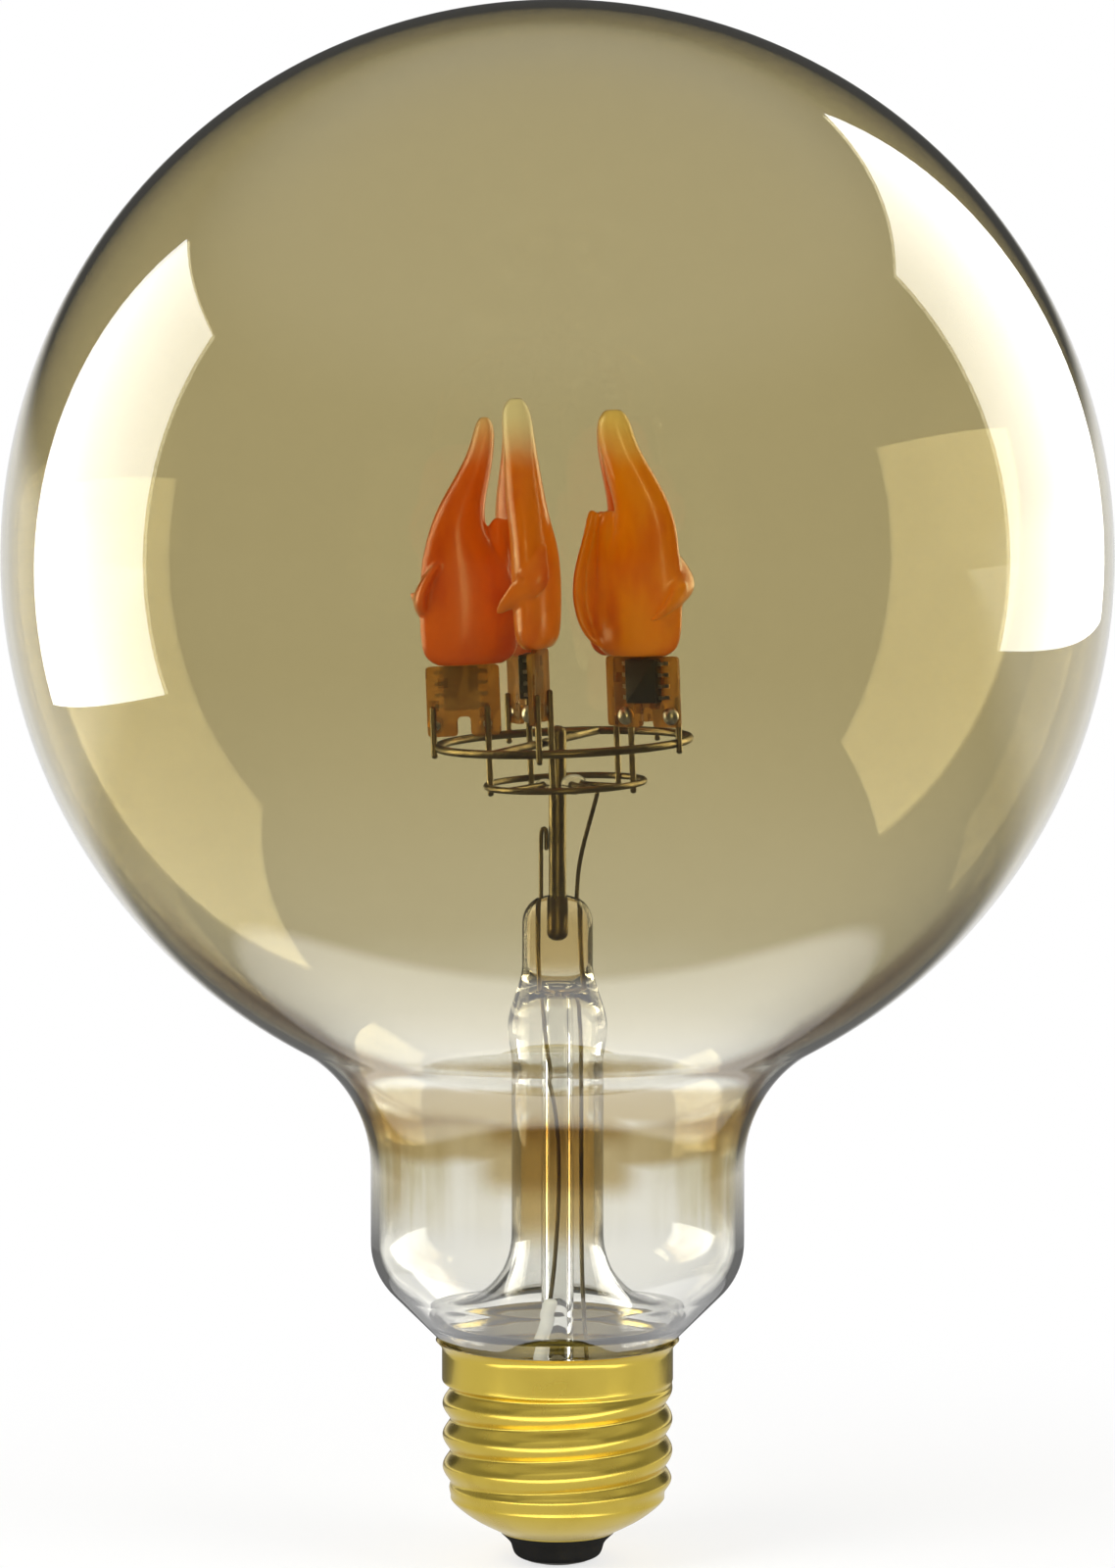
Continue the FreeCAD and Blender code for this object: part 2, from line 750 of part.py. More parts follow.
def on_lower_ring(angle):
    """Coordinates of a point on the lower ring's centre line."""
    return f"(size.lower_ring_radius * cos({angle}))", f"(size.lower_ring_radius * sin({angle}))"


def cross_bar():
    """The bar across the upper ring, which passes beside the post."""
    level = "size.upper_ring_level"
    ring = "size.upper_ring_radius"
    wire = "size.upper_wire"
    turn = "size.bar_azimuth"
    beside = f"(size.post_radius + {wire} + size.fit_gap + size.frame_shift * sin({turn}))"
    half = f"(sqrt({ring} * {ring} - {beside} * {beside}) - {wire} / 2)"
    start_x = f"(-{half} * cos({turn}) - {beside} * sin({turn}))"
    start_y = f"(-{half} * sin({turn}) + {beside} * cos({turn}))"
    along = f"rotation(vector(0; 0; 1); {turn}) * {FLAT_TURN}"
    bar = rod("bar_whole", wire, f"2 * {half}", start_x, start_y, level, along)
    return cut("bar_upright", bar, [hoop("upper_hoop_outside", ring, wire, level)])


def wire_frame(post, outer_pins, inner_pins):
    """Both rings with their welds, the cross bar, the spokes and the glass beads."""
    ring = "size.upper_ring_radius"
    upper = hoop("upper_hoop", ring, "size.upper_wire", "size.upper_ring_level")
    upper = cut("upper_ring_upright", upper, outer_pins)
    node("upper_ring", copy_at("upper_ring", upper, FRAME))
    node("upper_ring_bar", copy_at("upper_ring_bar", cross_bar(), FRAME))

    ring = "size.lower_ring_radius"
    wire = "size.lower_wire"
    level = "size.lower_ring_level"
    lower = cut("lower_ring_upright", hoop("lower_hoop", ring, wire, level), inner_pins)
    node("lower_ring", copy_at("lower_ring", lower, FRAME))

    spokes = []
    for index in range(SPOKES):
        name = f"size.spoke_{index + 1}"
        start = (f"{name}_across", f"{name}_along")
        end = on_lower_ring(f"{name}_azimuth")
        spokes.append(rod_between(f"spoke_{index}", wire, start, end, level))
    outside = hoop("lower_hoop_outside", ring, wire, level)
    upright = cut("spokes_upright", group("spokes_whole", spokes), [outside])
    node("lower_ring_spokes", copy_at("lower_ring_spokes", upright, FRAME))

    for side, sign in (("left", "-"), ("right", "")):
        bead = glass_drop(
            f"bead_{side}_whole",
            f"size.bead_{side}_radius",
            f"size.bead_{side}_height",
            f"{sign}size.bead_{side}_place",
            f"-size.bead_{side}_front",
            level,
        )
        held = copy_at(f"bead_{side}_held", cut(f"bead_{side}_upright", bead, spokes), FRAME)
        node(f"glass_bead_{side}", cut(f"glass_bead_{side}", held, [post]))


def lead_wires(post):
    """The two lead wires, from the driver in the cap to the post and the lower ring."""
    radius = number("size.lead_radius")
    start = number("size.driver_level + size.driver_thickness + size.fit_gap")
    front = -number("size.lead_front")
    left = -number("size.left_lead_offset")
    right = number("size.right_lead_offset")
    pinch = number("size.pinch_level")
    hook = number("size.hook_level")
    hook_end = -number("size.post_radius + size.lead_radius + 0.01")
    seat = number("size.seat_bottom")
    flare = number("size.seat_bottom + size.lead_flare_rise")
    cavity = number(f"{CAVITY_TOP} - size.lead_cavity_drop")
    held = pinch + number("size.lead_pinch_rise")
    left_points = [
        Vector(-number("size.left_lead_start"), front, start),
        Vector(-number("size.left_lead_seat"), front, seat),
        Vector(-number("size.left_lead_flare"), front, flare),
        Vector(number("size.left_lead_tube"), front, number("size.bulge_level - size.lead_tube_drop")),
        Vector(left, 0.75 * front, cavity),
        Vector(left, 0, held),
        Vector(left, 0, hook),
        Vector(hook_end, 0, hook),
        Vector(hook_end, 0, number("size.weld_level")),
    ]
    left_wire = formed_wire("lead_wire_left", left_points, radius, (hook_end - left) / 2)
    tube = number("size.right_lead_tube")
    azimuth_end = number("size.right_lead_azimuth")
    right_points = [
        Vector(number("size.right_lead_start"), 0, start),
        Vector(tube, 0, flare),
        Vector(tube, 0, cavity),
        Vector(right, 0, held),
        Vector(right + number("size.fit_gap"), 0, number("size.kink_level")),
        frame_point("size.lower_ring_radius", azimuth_end, "size.lower_ring_level"),
    ]
    bend = number("size.right_lead_bend")
    right_wire = formed_wire("lead_wire_right_whole", right_points, radius, bend)
    sleeve = DOC.addObject("Part::Feature", "lead_sleeve")
    run = left_points[2].sub(left_points[1])
    low = left_points[1] + run * number("size.sleeve_low")
    high = left_points[1] + run * number("size.sleeve_high")
    outside = bent_wire([low, high], number("size.sleeve_radius"), bend)
    inside = bent_wire([low, high], radius + number("size.fit_gap"), bend)
    sleeve.Shape = outside.cut(inside)
    node("lead_sleeve", sleeve)
    node("lead_wire_left", left_wire)
    right_wire = cut("lead_wire_right", right_wire, [NODES["lower_ring"]])
    node("lead_wire_right", right_wire)
    return left_wire, right_wire


def stem_assembly():
    """Post, leads, stem and exhaust tube."""
    post = rod("centre_post", "size.post_radius", "size.post_top - size.post_bottom", z="size.post_bottom")
    node("centre_post", post)
    outer_pins, inner_pins = flame_modules()
    wire_frame(post, outer_pins, inner_pins)
    left_wire, right_wire = lead_wires(post)
    node("stem_glass", cut("stem_glass", stem_form(), [post, left_wire, right_wire]))
    bore = "(size.exhaust_radius - size.exhaust_wall)"
    corners = (
        (bore, "size.exhaust_bottom", None),
        ("size.exhaust_radius", "size.exhaust_bottom", None),
        ("size.exhaust_radius", CAVITY_TOP, None),
        (bore, CAVITY_TOP, None),
    )
    node("exhaust_tube", turned("exhaust_tube", corners))


# Screw cap: a rolled brass shell. The foot line runs from the skirt in to the insulator.
ROOT_INSIDE = "(size.thread_root - size.shell_wall)"
SKIRT_INSIDE = "(size.skirt_radius - size.shell_wall - size.skirt_run)"


def screw_shell():
    """The brass shell with its flared rim, collar, screw thread and drawn-in foot."""
    wall = "size.shell_wall"
    body = turned("screw_shell", (
        ("size.collar_radius + size.rim_flare", "size.rim_level", None),
        (f"size.collar_radius + size.rim_flare - {wall}", "size.rim_level", None),
        (f"size.collar_radius - {wall}", "size.rim_level - size.rim_drop", None),
        (f"size.collar_radius - {wall}", f"size.collar_bottom + {wall}", None),
        (ROOT_INSIDE, f"size.collar_bottom + {wall} - size.collar_step", None),
        (ROOT_INSIDE, f"size.thread_start + {wall}", None),
        (f"size.skirt_radius - {wall}", f"size.skirt_level + {wall} / 2", None),
        (SKIRT_INSIDE, f"size.skirt_level - size.skirt_drop + {wall} * 1.5", None),
        ("size.foot_radius", f"size.foot_level + {wall}", None),
        ("size.foot_radius", "size.foot_level", None),
        ("size.skirt_radius - size.skirt_run", "size.skirt_level - size.skirt_drop", None),
        ("size.skirt_radius", "size.skirt_level", None),
        ("size.thread_root", "size.thread_start", None),
        ("size.thread_root", "size.collar_bottom - size.collar_step", None),
        ("size.collar_radius", "size.collar_bottom", None),
        ("size.collar_radius", "size.rim_level - size.rim_drop", None),
    ))
    DOC.recompute()
    ridge = sketch_on(body, "thread_ridge_profile")
    low = "(size.thread_start - size.thread_lead_in)"
    high = f"({low} + size.thread_ridge)"
    depth = "(size.thread_crest - size.thread_root + size.shell_wall / 2)"
    bulge = f"(({depth} * {depth} + size.thread_ridge * size.thread_ridge / 4) / (2 * {depth}))"
    inner = "size.thread_root - size.shell_wall / 2"
    draw_outline(ridge, ((inner, low, (bulge, 1)), (inner, high, None)))
    thread = body.newObject("PartDesign::AdditiveHelix", "thread")
    thread.Profile = ridge
    thread.ReferenceAxis = (ridge, ["V_Axis"])
    thread.Mode = 0
    thread.setExpression("Pitch", "size.thread_pitch")
    thread.setExpression("Height", "size.thread_pitch * size.thread_turns")
    body.Tip = thread
    node("screw_shell", body)


def cap_pieces():
    """Shell, insulator, contact and the cement that holds the glass."""
    screw_shell()
    gap = "size.fit_gap"
    foot_inside = f"(size.foot_level + size.shell_wall + {gap} * 2)"
    corners = (
        (f"size.rivet_radius + {gap}", f"size.contact_depth + {gap}", None),
        ("size.contact_radius + size.insulator_rim", f"size.contact_depth + {gap}", None),
        ("size.insulator_waist", "size.foot_level * 0.45", None),
        ("size.insulator_waist + size.insulator_step", "size.foot_level * 0.7", None),
        (f"size.foot_radius - {gap}", f"size.foot_level - {gap} * 3", None),
        (f"size.foot_radius - {gap}", foot_inside, None),
        (SKIRT_INSIDE, f"size.skirt_level - size.skirt_drop + size.shell_wall * 2 + {gap}", None),
        (SKIRT_INSIDE, "size.insulator_top", None),
        (f"size.rivet_radius + {gap}", "size.insulator_top", None),
    )
    node("cap_insulator", turned("cap_insulator", corners))
    contact = (
        ("0", "0", None),
        ("size.contact_flat", "0", None),
        ("size.contact_radius", "size.contact_depth * 0.6", None),
        ("size.contact_radius", "size.contact_depth", None),
        ("size.rivet_radius", "size.contact_depth", None),
        ("size.rivet_radius", "size.insulator_top + size.insulator_step", None),
        ("0", "size.insulator_top + size.insulator_step", None),
    )
    node("centre_contact", turned("centre_contact", contact))
    cement_out = f"(size.collar_radius - size.shell_wall - {gap})"
    cement_in = f"({SEAT_RADIUS} + {gap})"
    cement_low = "(size.collar_bottom + size.shell_wall + size.collar_step)"
    cement_high = "(size.rim_level - size.rim_drop - size.collar_step)"
    cement = (
        (cement_in, cement_low, None),
        (cement_out, cement_low, None),
        (cement_out, cement_high, None),
        (cement_in, cement_high, None),
    )
    node("cap_cement", turned("cap_cement", cement))


def driver_pieces():
    """The small driver that stands in the cap."""
    board = rod("driver_board", "size.driver_radius", "size.driver_thickness", z="size.driver_level")
    node("driver_board", board)
    top = "size.driver_level + size.driver_thickness"
    rectifier = DOC.addObject("Part::Box", "bridge_rectifier")
    rectifier.setExpression("Length", "size.rectifier_width")
    rectifier.setExpression("Width", "size.rectifier_length")
    rectifier.setExpression("Height", "size.rectifier_depth")
    place(rectifier, "-size.rectifier_place - size.rectifier_width / 2", "0", top)
    node("bridge_rectifier", rectifier)
    length = "size.capacitor_length"
    can = rod("smoothing_capacitor", "size.capacitor_radius", length, 0, "size.capacitor_place", top)
    node("smoothing_capacitor", can)


def check_document():
    """Stop if any object failed or a sub-part has no sound solid."""
    failed = [item.Name for item in DOC.Objects if {"Invalid", "Error"} & set(item.State)]
    for name, item in NODES.items():
        if item.Shape.isNull() or not item.Shape.isValid() or not item.Shape.Solids:
            failed.append(name)
    if failed:
        raise RuntimeError("not sound: " + ", ".join(failed))


def write_parts():
    """Write every sub-part as a STEP file of its own."""
    os.makedirs("parts", exist_ok=True)
    for name, item in sorted(NODES.items()):
        item.Shape.exportStep(f"parts/{name}.step")
    print(len(NODES), "parts written")


fill_sheet()
glass_globe()
cap_pieces()
driver_pieces()
stem_assembly()
DOC.recompute()
check_document()
write_parts()
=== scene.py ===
"""Looks of a flame effect lamp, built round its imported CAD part.

Every sub-assembly of the lamp is a class: its fields are sizes in millimetres and its
methods build and dress the meshes. Finishes are small frozen dataclasses.
"""

import logging
import math
from dataclasses import dataclass, field
from enum import Enum, auto
from typing import Any, Callable, Optional, Sequence

import bmesh
import bpy
import numpy as np
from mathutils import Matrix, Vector


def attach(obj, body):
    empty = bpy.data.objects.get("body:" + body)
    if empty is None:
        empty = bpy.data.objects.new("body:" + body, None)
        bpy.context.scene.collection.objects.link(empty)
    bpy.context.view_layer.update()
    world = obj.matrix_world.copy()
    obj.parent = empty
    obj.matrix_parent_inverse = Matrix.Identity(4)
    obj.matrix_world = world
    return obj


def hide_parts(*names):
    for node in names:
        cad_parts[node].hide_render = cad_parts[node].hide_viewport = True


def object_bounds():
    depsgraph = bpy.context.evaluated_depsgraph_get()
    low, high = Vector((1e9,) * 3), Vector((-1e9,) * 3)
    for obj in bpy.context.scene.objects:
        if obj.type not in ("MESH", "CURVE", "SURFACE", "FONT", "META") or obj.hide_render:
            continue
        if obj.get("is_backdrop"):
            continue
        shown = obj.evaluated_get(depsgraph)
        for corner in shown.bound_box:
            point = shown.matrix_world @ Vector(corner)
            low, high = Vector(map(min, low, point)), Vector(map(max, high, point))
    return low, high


MM = 0.001
BODY = "root"
WIDE = 900  # reach of the soft surroundings in millimetres
END_LENGTH = 0.8  # length of a tube's rounded end, in radii
OFF_AXIS = (0.31, 0.22, 0.93)  # a direction that few wires follow
NEARLY_PARALLEL = 0.2
ON_AXIS = 1e-9
WHITE = (1.0, 1.0, 1.0, 1.0)
LOG = logging.getLogger("lamp")
Array = np.ndarray
Node = bpy.types.Node
Socket = bpy.types.NodeSocket
Piece = bpy.types.Object
Tree = bpy.types.NodeTree
Colour = tuple[float, float, float]
Point = tuple[float, float, float]
Range = tuple[float, float]
Band = tuple[float, float, float, float]


class Slot(Enum):
    """Material slots of the record that new pieces take their finish from."""

    AMBER_GLASS = "amber_glass"
    CLEAR_GLASS = "clear_glass"
    BRASS = "brass_shell"
    INSULATOR = "black_insulator"
    CONTACT = "contact_metal"
    CEMENT = "cement"
    DRIVER = "driver_laminate"
    MOULD = "black_mould"
    NICKEL = "nickel_wire"
    SLEEVE = "white_sleeve"
    BOARD = "board_laminate"
    SILICONE = "flame_silicone"
    DIE = "led_die"
    TINNED = "tinned_metal"


class MeshBuilder:
    """Gathers parametric surfaces, in millimetres, into one mesh."""

    def __init__(self) -> None:
        """Starts with nothing gathered."""
        self._points: list[Array] = []
        self._faces: list[Array] = []
        self._plain: list[list[int]] = []
        self._count = 0

    def _take(self, points: Array) -> int:
        """Stores points and returns the index of the first of them."""
        first = self._count
        flat = np.asarray(points, float).reshape(-1, 3)
        self._points.append(flat)
        self._count += len(flat)
        return first

    def grid(self, points: Array, wrap_rows: bool = False, wrap_columns: bool = False) -> "MeshBuilder":
        """Adds a surface sampled on rows and columns.

        Args:
            points: Positions, shaped (rows, columns, 3).
            wrap_rows: Whether the last row joins the first.
            wrap_columns: Whether the last column joins the first.

        Returns:
            The builder, so that calls can follow one another.
        """
        rows, columns = points.shape[:2]
        index = np.arange(rows * columns).reshape(rows, columns) + self._take(points)
        if wrap_rows:
            index = np.vstack([index, index[:1]])
        if wrap_columns:
            index = np.hstack([index, index[:, :1]])
        corners = [index[:-1, :-1], index[:-1, 1:], index[1:, 1:], index[1:, :-1]]
        self._faces.append(np.stack(corners, -1).reshape(-1, 4))
        return self

    def fan(self, ring: Array, apex: Array, flip: bool = False) -> "MeshBuilder":
        """Closes a ring of positions with triangles that meet in one point."""
        count = len(ring)
        first = self._take(np.vstack([ring, np.reshape(apex, (1, 3))]))
        here = np.arange(count) + first
        there = np.roll(here, -1)
        tip = np.full(count, first + count)
        corners = [there, here, tip] if flip else [here, there, tip]
        self._plain.extend(np.stack(corners, -1).tolist())
        return self

    def face(self, ring: Array, flip: bool = False) -> "MeshBuilder":
        """Adds one flat face with the given outline."""
        first = self._take(ring)
        order = list(range(first, first + len(ring)))
        self._plain.append(order[::-1] if flip else order)
        return self

    def build(self, name: str, sharp: float = 40.0, placement: Optional[Array] = None) -> Piece:
        """Makes the Blender object.

        Args:
            name: Name of the object and its mesh.
            sharp: Angle in degrees above which an edge stays sharp.
            placement: Optional 4 by 4 matrix applied to the positions.

        Returns:
            The object, at the origin, with its place in its vertices.
        """
        points = np.vstack(self._points)
        if placement is not None:
            points = points @ placement[:3, :3].T + placement[:3, 3]
        mesh = bpy.data.meshes.new(name)
        faces = [quad for block in self._faces for quad in block.tolist()] + self._plain
        mesh.from_pydata((points * MM).tolist(), [], faces)
        mesh.validate()
        piece = put(name, mesh)
        weld(piece)
        finish_shading(piece, sharp)
        return piece


def put(name: str, data: Any) -> Piece:
    """Makes an object of its data and puts it in the scene."""
    item = bpy.data.objects.new(name, data)
    bpy.context.scene.collection.objects.link(item)
    return item


def full_turn(count: int) -> Array:
    """Angles of one turn in radians, without the last, which is the first again."""
    return np.linspace(0.0, 2 * math.pi, count, endpoint=False)


def weld(piece: Piece, distance: float = 2e-7) -> None:
    """Merges coincident vertices and turns the normals outwards."""
    work = bmesh.new()
    work.from_mesh(piece.data)
    bmesh.ops.remove_doubles(work, verts=work.verts, dist=distance)
    bmesh.ops.recalc_face_normals(work, faces=work.faces)
    work.to_mesh(piece.data)
    work.free()


def finish_shading(piece: Piece, sharp: float) -> None:
    """Smooth shading with sharp edges above an angle in degrees."""
    mesh = piece.data
    mesh.polygons.foreach_set("use_smooth", np.ones(len(mesh.polygons), bool))
    mesh.set_sharp_from_angle(angle=math.radians(sharp))
    mesh.update()


def eased(share: Array) -> Array:
    """A share from 0 to 1 that starts and ends softly."""
    return share * share * (3 - 2 * share)


def heading(degrees: float) -> Array:
    """Unit vector (x, y) of a direction."""
    angle = math.radians(degrees)
    return np.array([math.cos(angle), math.sin(angle)])


def turned(reach: Array, angle: Array, level: Array) -> Array:
    """Positions at a reach from the Z axis, an angle round it in radians, and a level."""
    return np.stack(np.broadcast_arrays(reach * np.cos(angle), reach * np.sin(angle), level), -1)


def arc(centre: Range, radius: float, start: float, end: float, count: int) -> Array:
    """Points on a circle, angles in degrees, as rows of (across, up)."""
    angle = np.radians(np.linspace(start, end, count))
    return np.stack([centre[0] + radius * np.cos(angle), centre[1] + radius * np.sin(angle)], -1)


def lathe(builder: MeshBuilder, profile: Array, segments: int) -> MeshBuilder:
    """Turns a profile of (radius, height) round the Z axis.

    Position = (r cos a, r sin a, z) for every profile row and every angle a. A row on the
    axis becomes a single pole.
    """
    start = int(profile[0, 0] < ON_AXIS)
    stop = len(profile) - int(profile[-1, 0] < ON_AXIS)
    rows = profile[start:stop]
    grid = turned(rows[:, :1], full_turn(segments), rows[:, 1:])
    builder.grid(grid, wrap_columns=True)
    if start:
        builder.fan(grid[0], np.array([0.0, 0.0, profile[0, 1]]))
    if stop < len(profile):
        builder.fan(grid[-1], np.array([0.0, 0.0, profile[-1, 1]]), flip=True)
    return builder


def smooth_path(points: Sequence[Sequence[float]], count: int) -> Array:
    """A uniform cubic B-spline through the neighbourhood of its control points.

    The end points are tripled, so that the curve starts and ends on them.
    """
    control = np.asarray(points, float)
    control = np.vstack([control[:1], control[:1], control, control[-1:], control[-1:]])
    spans = len(control) - 3
    position = np.linspace(0.0, spans - 1e-9, count)
    index = position.astype(int)
    t = (position - index)[:, None]
    weights = (
        (1 - t) ** 3 / 6,
        (3 * t**3 - 6 * t**2 + 4) / 6,
        (-3 * t**3 + 3 * t**2 + 3 * t + 1) / 6,
        t**3 / 6,
    )
    return sum(weight * control[index + step] for step, weight in enumerate(weights))


def tube(builder: MeshBuilder, path: Array, radius: float, segments: int) -> MeshBuilder:
    """A round tube along a path, with rounded ends.

    Each station carries a circle in the plane across the path. The side vector is carried
    along the path and kept square to it.
    """
    run = np.gradient(path, axis=0)
    run /= np.linalg.norm(run, axis=1, keepdims=True)
    side = np.cross(run[0], OFF_AXIS)
    if np.linalg.norm(side) < NEARLY_PARALLEL:
        side = np.cross(run[0], [1.0, 0.0, 0.0])
    sides = np.empty_like(path)
    for station, forward in enumerate(run):
        side = side - forward * (side @ forward)
        side /= np.linalg.norm(side)
        sides[station] = side
    other = np.cross(run, sides)
    angle = full_turn(segments)[None, :, None]
    circle = np.cos(angle) * sides[:, None] + np.sin(angle) * other[:, None]
    body = path[:, None] + circle * radius
    bulge = np.radians(np.array([60.0, 30.0]))[:, None, None]
    back = bulge[::-1]
    start = path[0] - run[0] * radius * np.sin(bulge) * END_LENGTH + circle[0] * radius * np.cos(bulge)
    end = path[-1] + run[-1] * radius * np.sin(back) * END_LENGTH + circle[-1] * radius * np.cos(back)
    grid = np.concatenate([start, body, end])
    builder.grid(grid, wrap_columns=True)
    builder.fan(grid[0], path[0] - run[0] * radius * END_LENGTH)
    builder.fan(grid[-1], path[-1] + run[-1] * radius * END_LENGTH, flip=True)
    return builder


def ring(builder: MeshBuilder, radius: float, wire: float, level: float) -> MeshBuilder:
    """A round wire bent to a circle: a torus at a level."""
    segments, sides = 128, 18
    turn = full_turn(segments)[:, None]
    roll = full_turn(sides)
    reach = radius + wire * np.cos(roll)
    up = level + wire * np.sin(roll)
    return builder.grid(turned(reach, turn, up), wrap_rows=True, wrap_columns=True)


def blob(builder: MeshBuilder, centre: Point, half: Point, segments: int) -> MeshBuilder:
    """A closed rounded lump: an ellipsoid with half sizes along the axes."""
    rows = 11
    rise = np.radians(np.linspace(-90.0, 90.0, rows + 2)[1:-1])[:, None]
    centre_point = np.asarray(centre, float)
    size = np.asarray(half, float)
    grid = centre_point + turned(np.cos(rise), full_turn(segments), np.sin(rise)) * size
    builder.grid(grid, wrap_columns=True)
    builder.fan(grid[0], centre_point - [0, 0, size[2]])
    builder.fan(grid[-1], centre_point + [0, 0, size[2]], flip=True)
    return builder


def rounded(outline: Sequence[Range], radius: float, steps: int = 4) -> Array:
    """An outline with every corner rounded by a parabola of about the radius."""
    most = 0.45  # share of an edge that one corner may take
    points = np.asarray(outline, float)
    ends = []
    for step in (1, -1):
        edge = np.roll(points, step, axis=0) - points
        length = np.linalg.norm(edge, axis=1, keepdims=True)
        ends.append(points + edge / length * np.minimum(radius, most * length))
    start, end = ends
    t = np.linspace(0.0, 1.0, steps)[None, :, None]
    curve = (1 - t) ** 2 * start[:, None] + 2 * t * (1 - t) * points[:, None] + t**2 * end[:, None]
    return curve.reshape(-1, 2)


def slab(
    builder: MeshBuilder,
    outline: Array,
    low: float,
    high: float,
    bevel: float,
    place: Callable[[Array, Array], Array],
) -> MeshBuilder:
    """A flat plate with softened edges.

    Args:
        builder: Where the surfaces go.
        outline: Corner positions (across, up), counter-clockwise.
        low: Level of one face.
        high: Level of the other face.
        bevel: Size of the softened edge.
        place: Turns (outline rows, levels) into positions.

    Returns:
        The builder.
    """
    forward = np.roll(outline, -1, axis=0) - np.roll(outline, 1, axis=0)
    inward = np.stack([-forward[:, 1], forward[:, 0]], -1)
    inward /= np.maximum(np.linalg.norm(inward, axis=1, keepdims=True), 1e-9)
    part = 0.3 * bevel
    steps = ((bevel, low), (part, low + part), (0.0, low + bevel))
    steps += ((0.0, high - bevel), (part, high - part), (bevel, high))
    rows = [place(outline + inward * inset, np.full(len(outline), level)) for inset, level in steps]
    builder.grid(np.stack(rows), wrap_columns=True)
    builder.face(rows[0], flip=True)
    builder.face(rows[-1])
    return builder


def applied(piece: Piece) -> Piece:
    """Replaces an object's mesh by what its modifiers make of it."""
    bpy.context.view_layer.update()
    graph = bpy.context.evaluated_depsgraph_get()
    mesh = bpy.data.meshes.new_from_object(piece.evaluated_get(graph))
    piece.modifiers.clear()
    old = piece.data
    piece.data = mesh
    mesh.name = piece.name
    bpy.data.meshes.remove(old)
    return piece


class Graph:
    """Short calls to add nodes to a tree and join them."""

    def __init__(self, tree: Tree) -> None:
        """Works on a tree."""
        self.tree = tree

    def add(self, kind: str, inputs: Optional[dict[Any, Any]] = None, **settings: Any) -> Node:
        """Adds a node.

        Args:
            kind: The node's type name without its prefix.
            inputs: Values or sockets for its inputs, by name or number.
            **settings: Attributes set on the node.

        Returns:
            The new node.
        """
        node = self.tree.nodes.new("ShaderNode" + kind)
        for key, value in settings.items():
            setattr(node, key, value)
        for key, value in (inputs or {}).items():
            if isinstance(value, Socket):
                self.tree.links.new(value, node.inputs[key])
            else:
                node.inputs[key].default_value = value
        return node

    def link(self, value: Socket, node: Node, name: str) -> None:
        """Joins a socket to a node's input."""
        self.tree.links.new(value, node.inputs[name])

    def math(self, operation: str, *values: Any, clamp: bool = False) -> Socket:
        """A Math node's result."""
        node = self.add("Math", dict(enumerate(values)), operation=operation, use_clamp=clamp)
        return node.outputs[0]

    def times(self, first: Any, second: Any) -> Socket:
        """The product of two values."""
        return self.math("MULTIPLY", first, second)

    def mix(self, factor: Any, first: Any, second: Any) -> Socket:
        """A colour mix of two colours."""
        node = self.tree.nodes.new("ShaderNodeMix")
        node.data_type = "RGBA"
        for socket, value in ((0, factor), (6, first), (7, second)):
            if isinstance(value, Socket):
                self.tree.links.new(value, node.inputs[socket])
            else:
                node.inputs[socket].default_value = rgba(value) if socket else value
        return node.outputs[2]

    def remap(self, value: Any, low: float, high: float, start: float = 0.0, end: float = 1.0) -> Socket:
        """A value moved smoothly from one range to another."""
        inputs = {"Value": value, "From Min": low, "From Max": high, "To Min": start, "To Max": end}
        return self.add("MapRange", inputs, interpolation_type="SMOOTHSTEP").outputs[0]

    def band(self, value: Any, levels: Band) -> Socket:
        """One between the middle two of four levels, and faded smoothly to nothing at the outer ones."""
        low, full, fading, high = levels
        return self.times(self.remap(value, low, full), self.remap(value, high, fading))

    def mixed(self, factor: Any, first: Node, second: Node) -> Node:
        """A mix of two shaders."""
        return self.add("MixShader", {0: factor, 1: first.outputs[0], 2: second.outputs[0]})

    def glow(self, strength: Any) -> Node:
        """White light of a strength."""
        return self.add("Emission", {"Color": WHITE, "Strength": strength})

    def place(self) -> Socket:
        """The object's own coordinates, in metres."""
        return self.add("TexCoord").outputs["Object"]

    def split(self) -> Any:
        """The three parts of the object's own coordinates."""
        return self.add("SeparateXYZ", {0: self.place()}).outputs

    def noise(self, scale: float, detail: float, flat: float = 1.0) -> Socket:
        """Noise with a number of cells per metre, and a share of it along Z."""
        size = self.add("Mapping", {"Vector": self.place(), "Scale": (1.0, 1.0, flat)})
        inputs = {"Vector": size.outputs[0], "Scale": scale, "Detail": detail, "Roughness": 0.5}
        return self.add("TexNoise", inputs).outputs[0]


def rgba(colour: Sequence[float]) -> tuple[float, ...]:
    """A colour with an alpha of one."""
    return tuple(colour) + (1.0,) * (4 - len(colour))


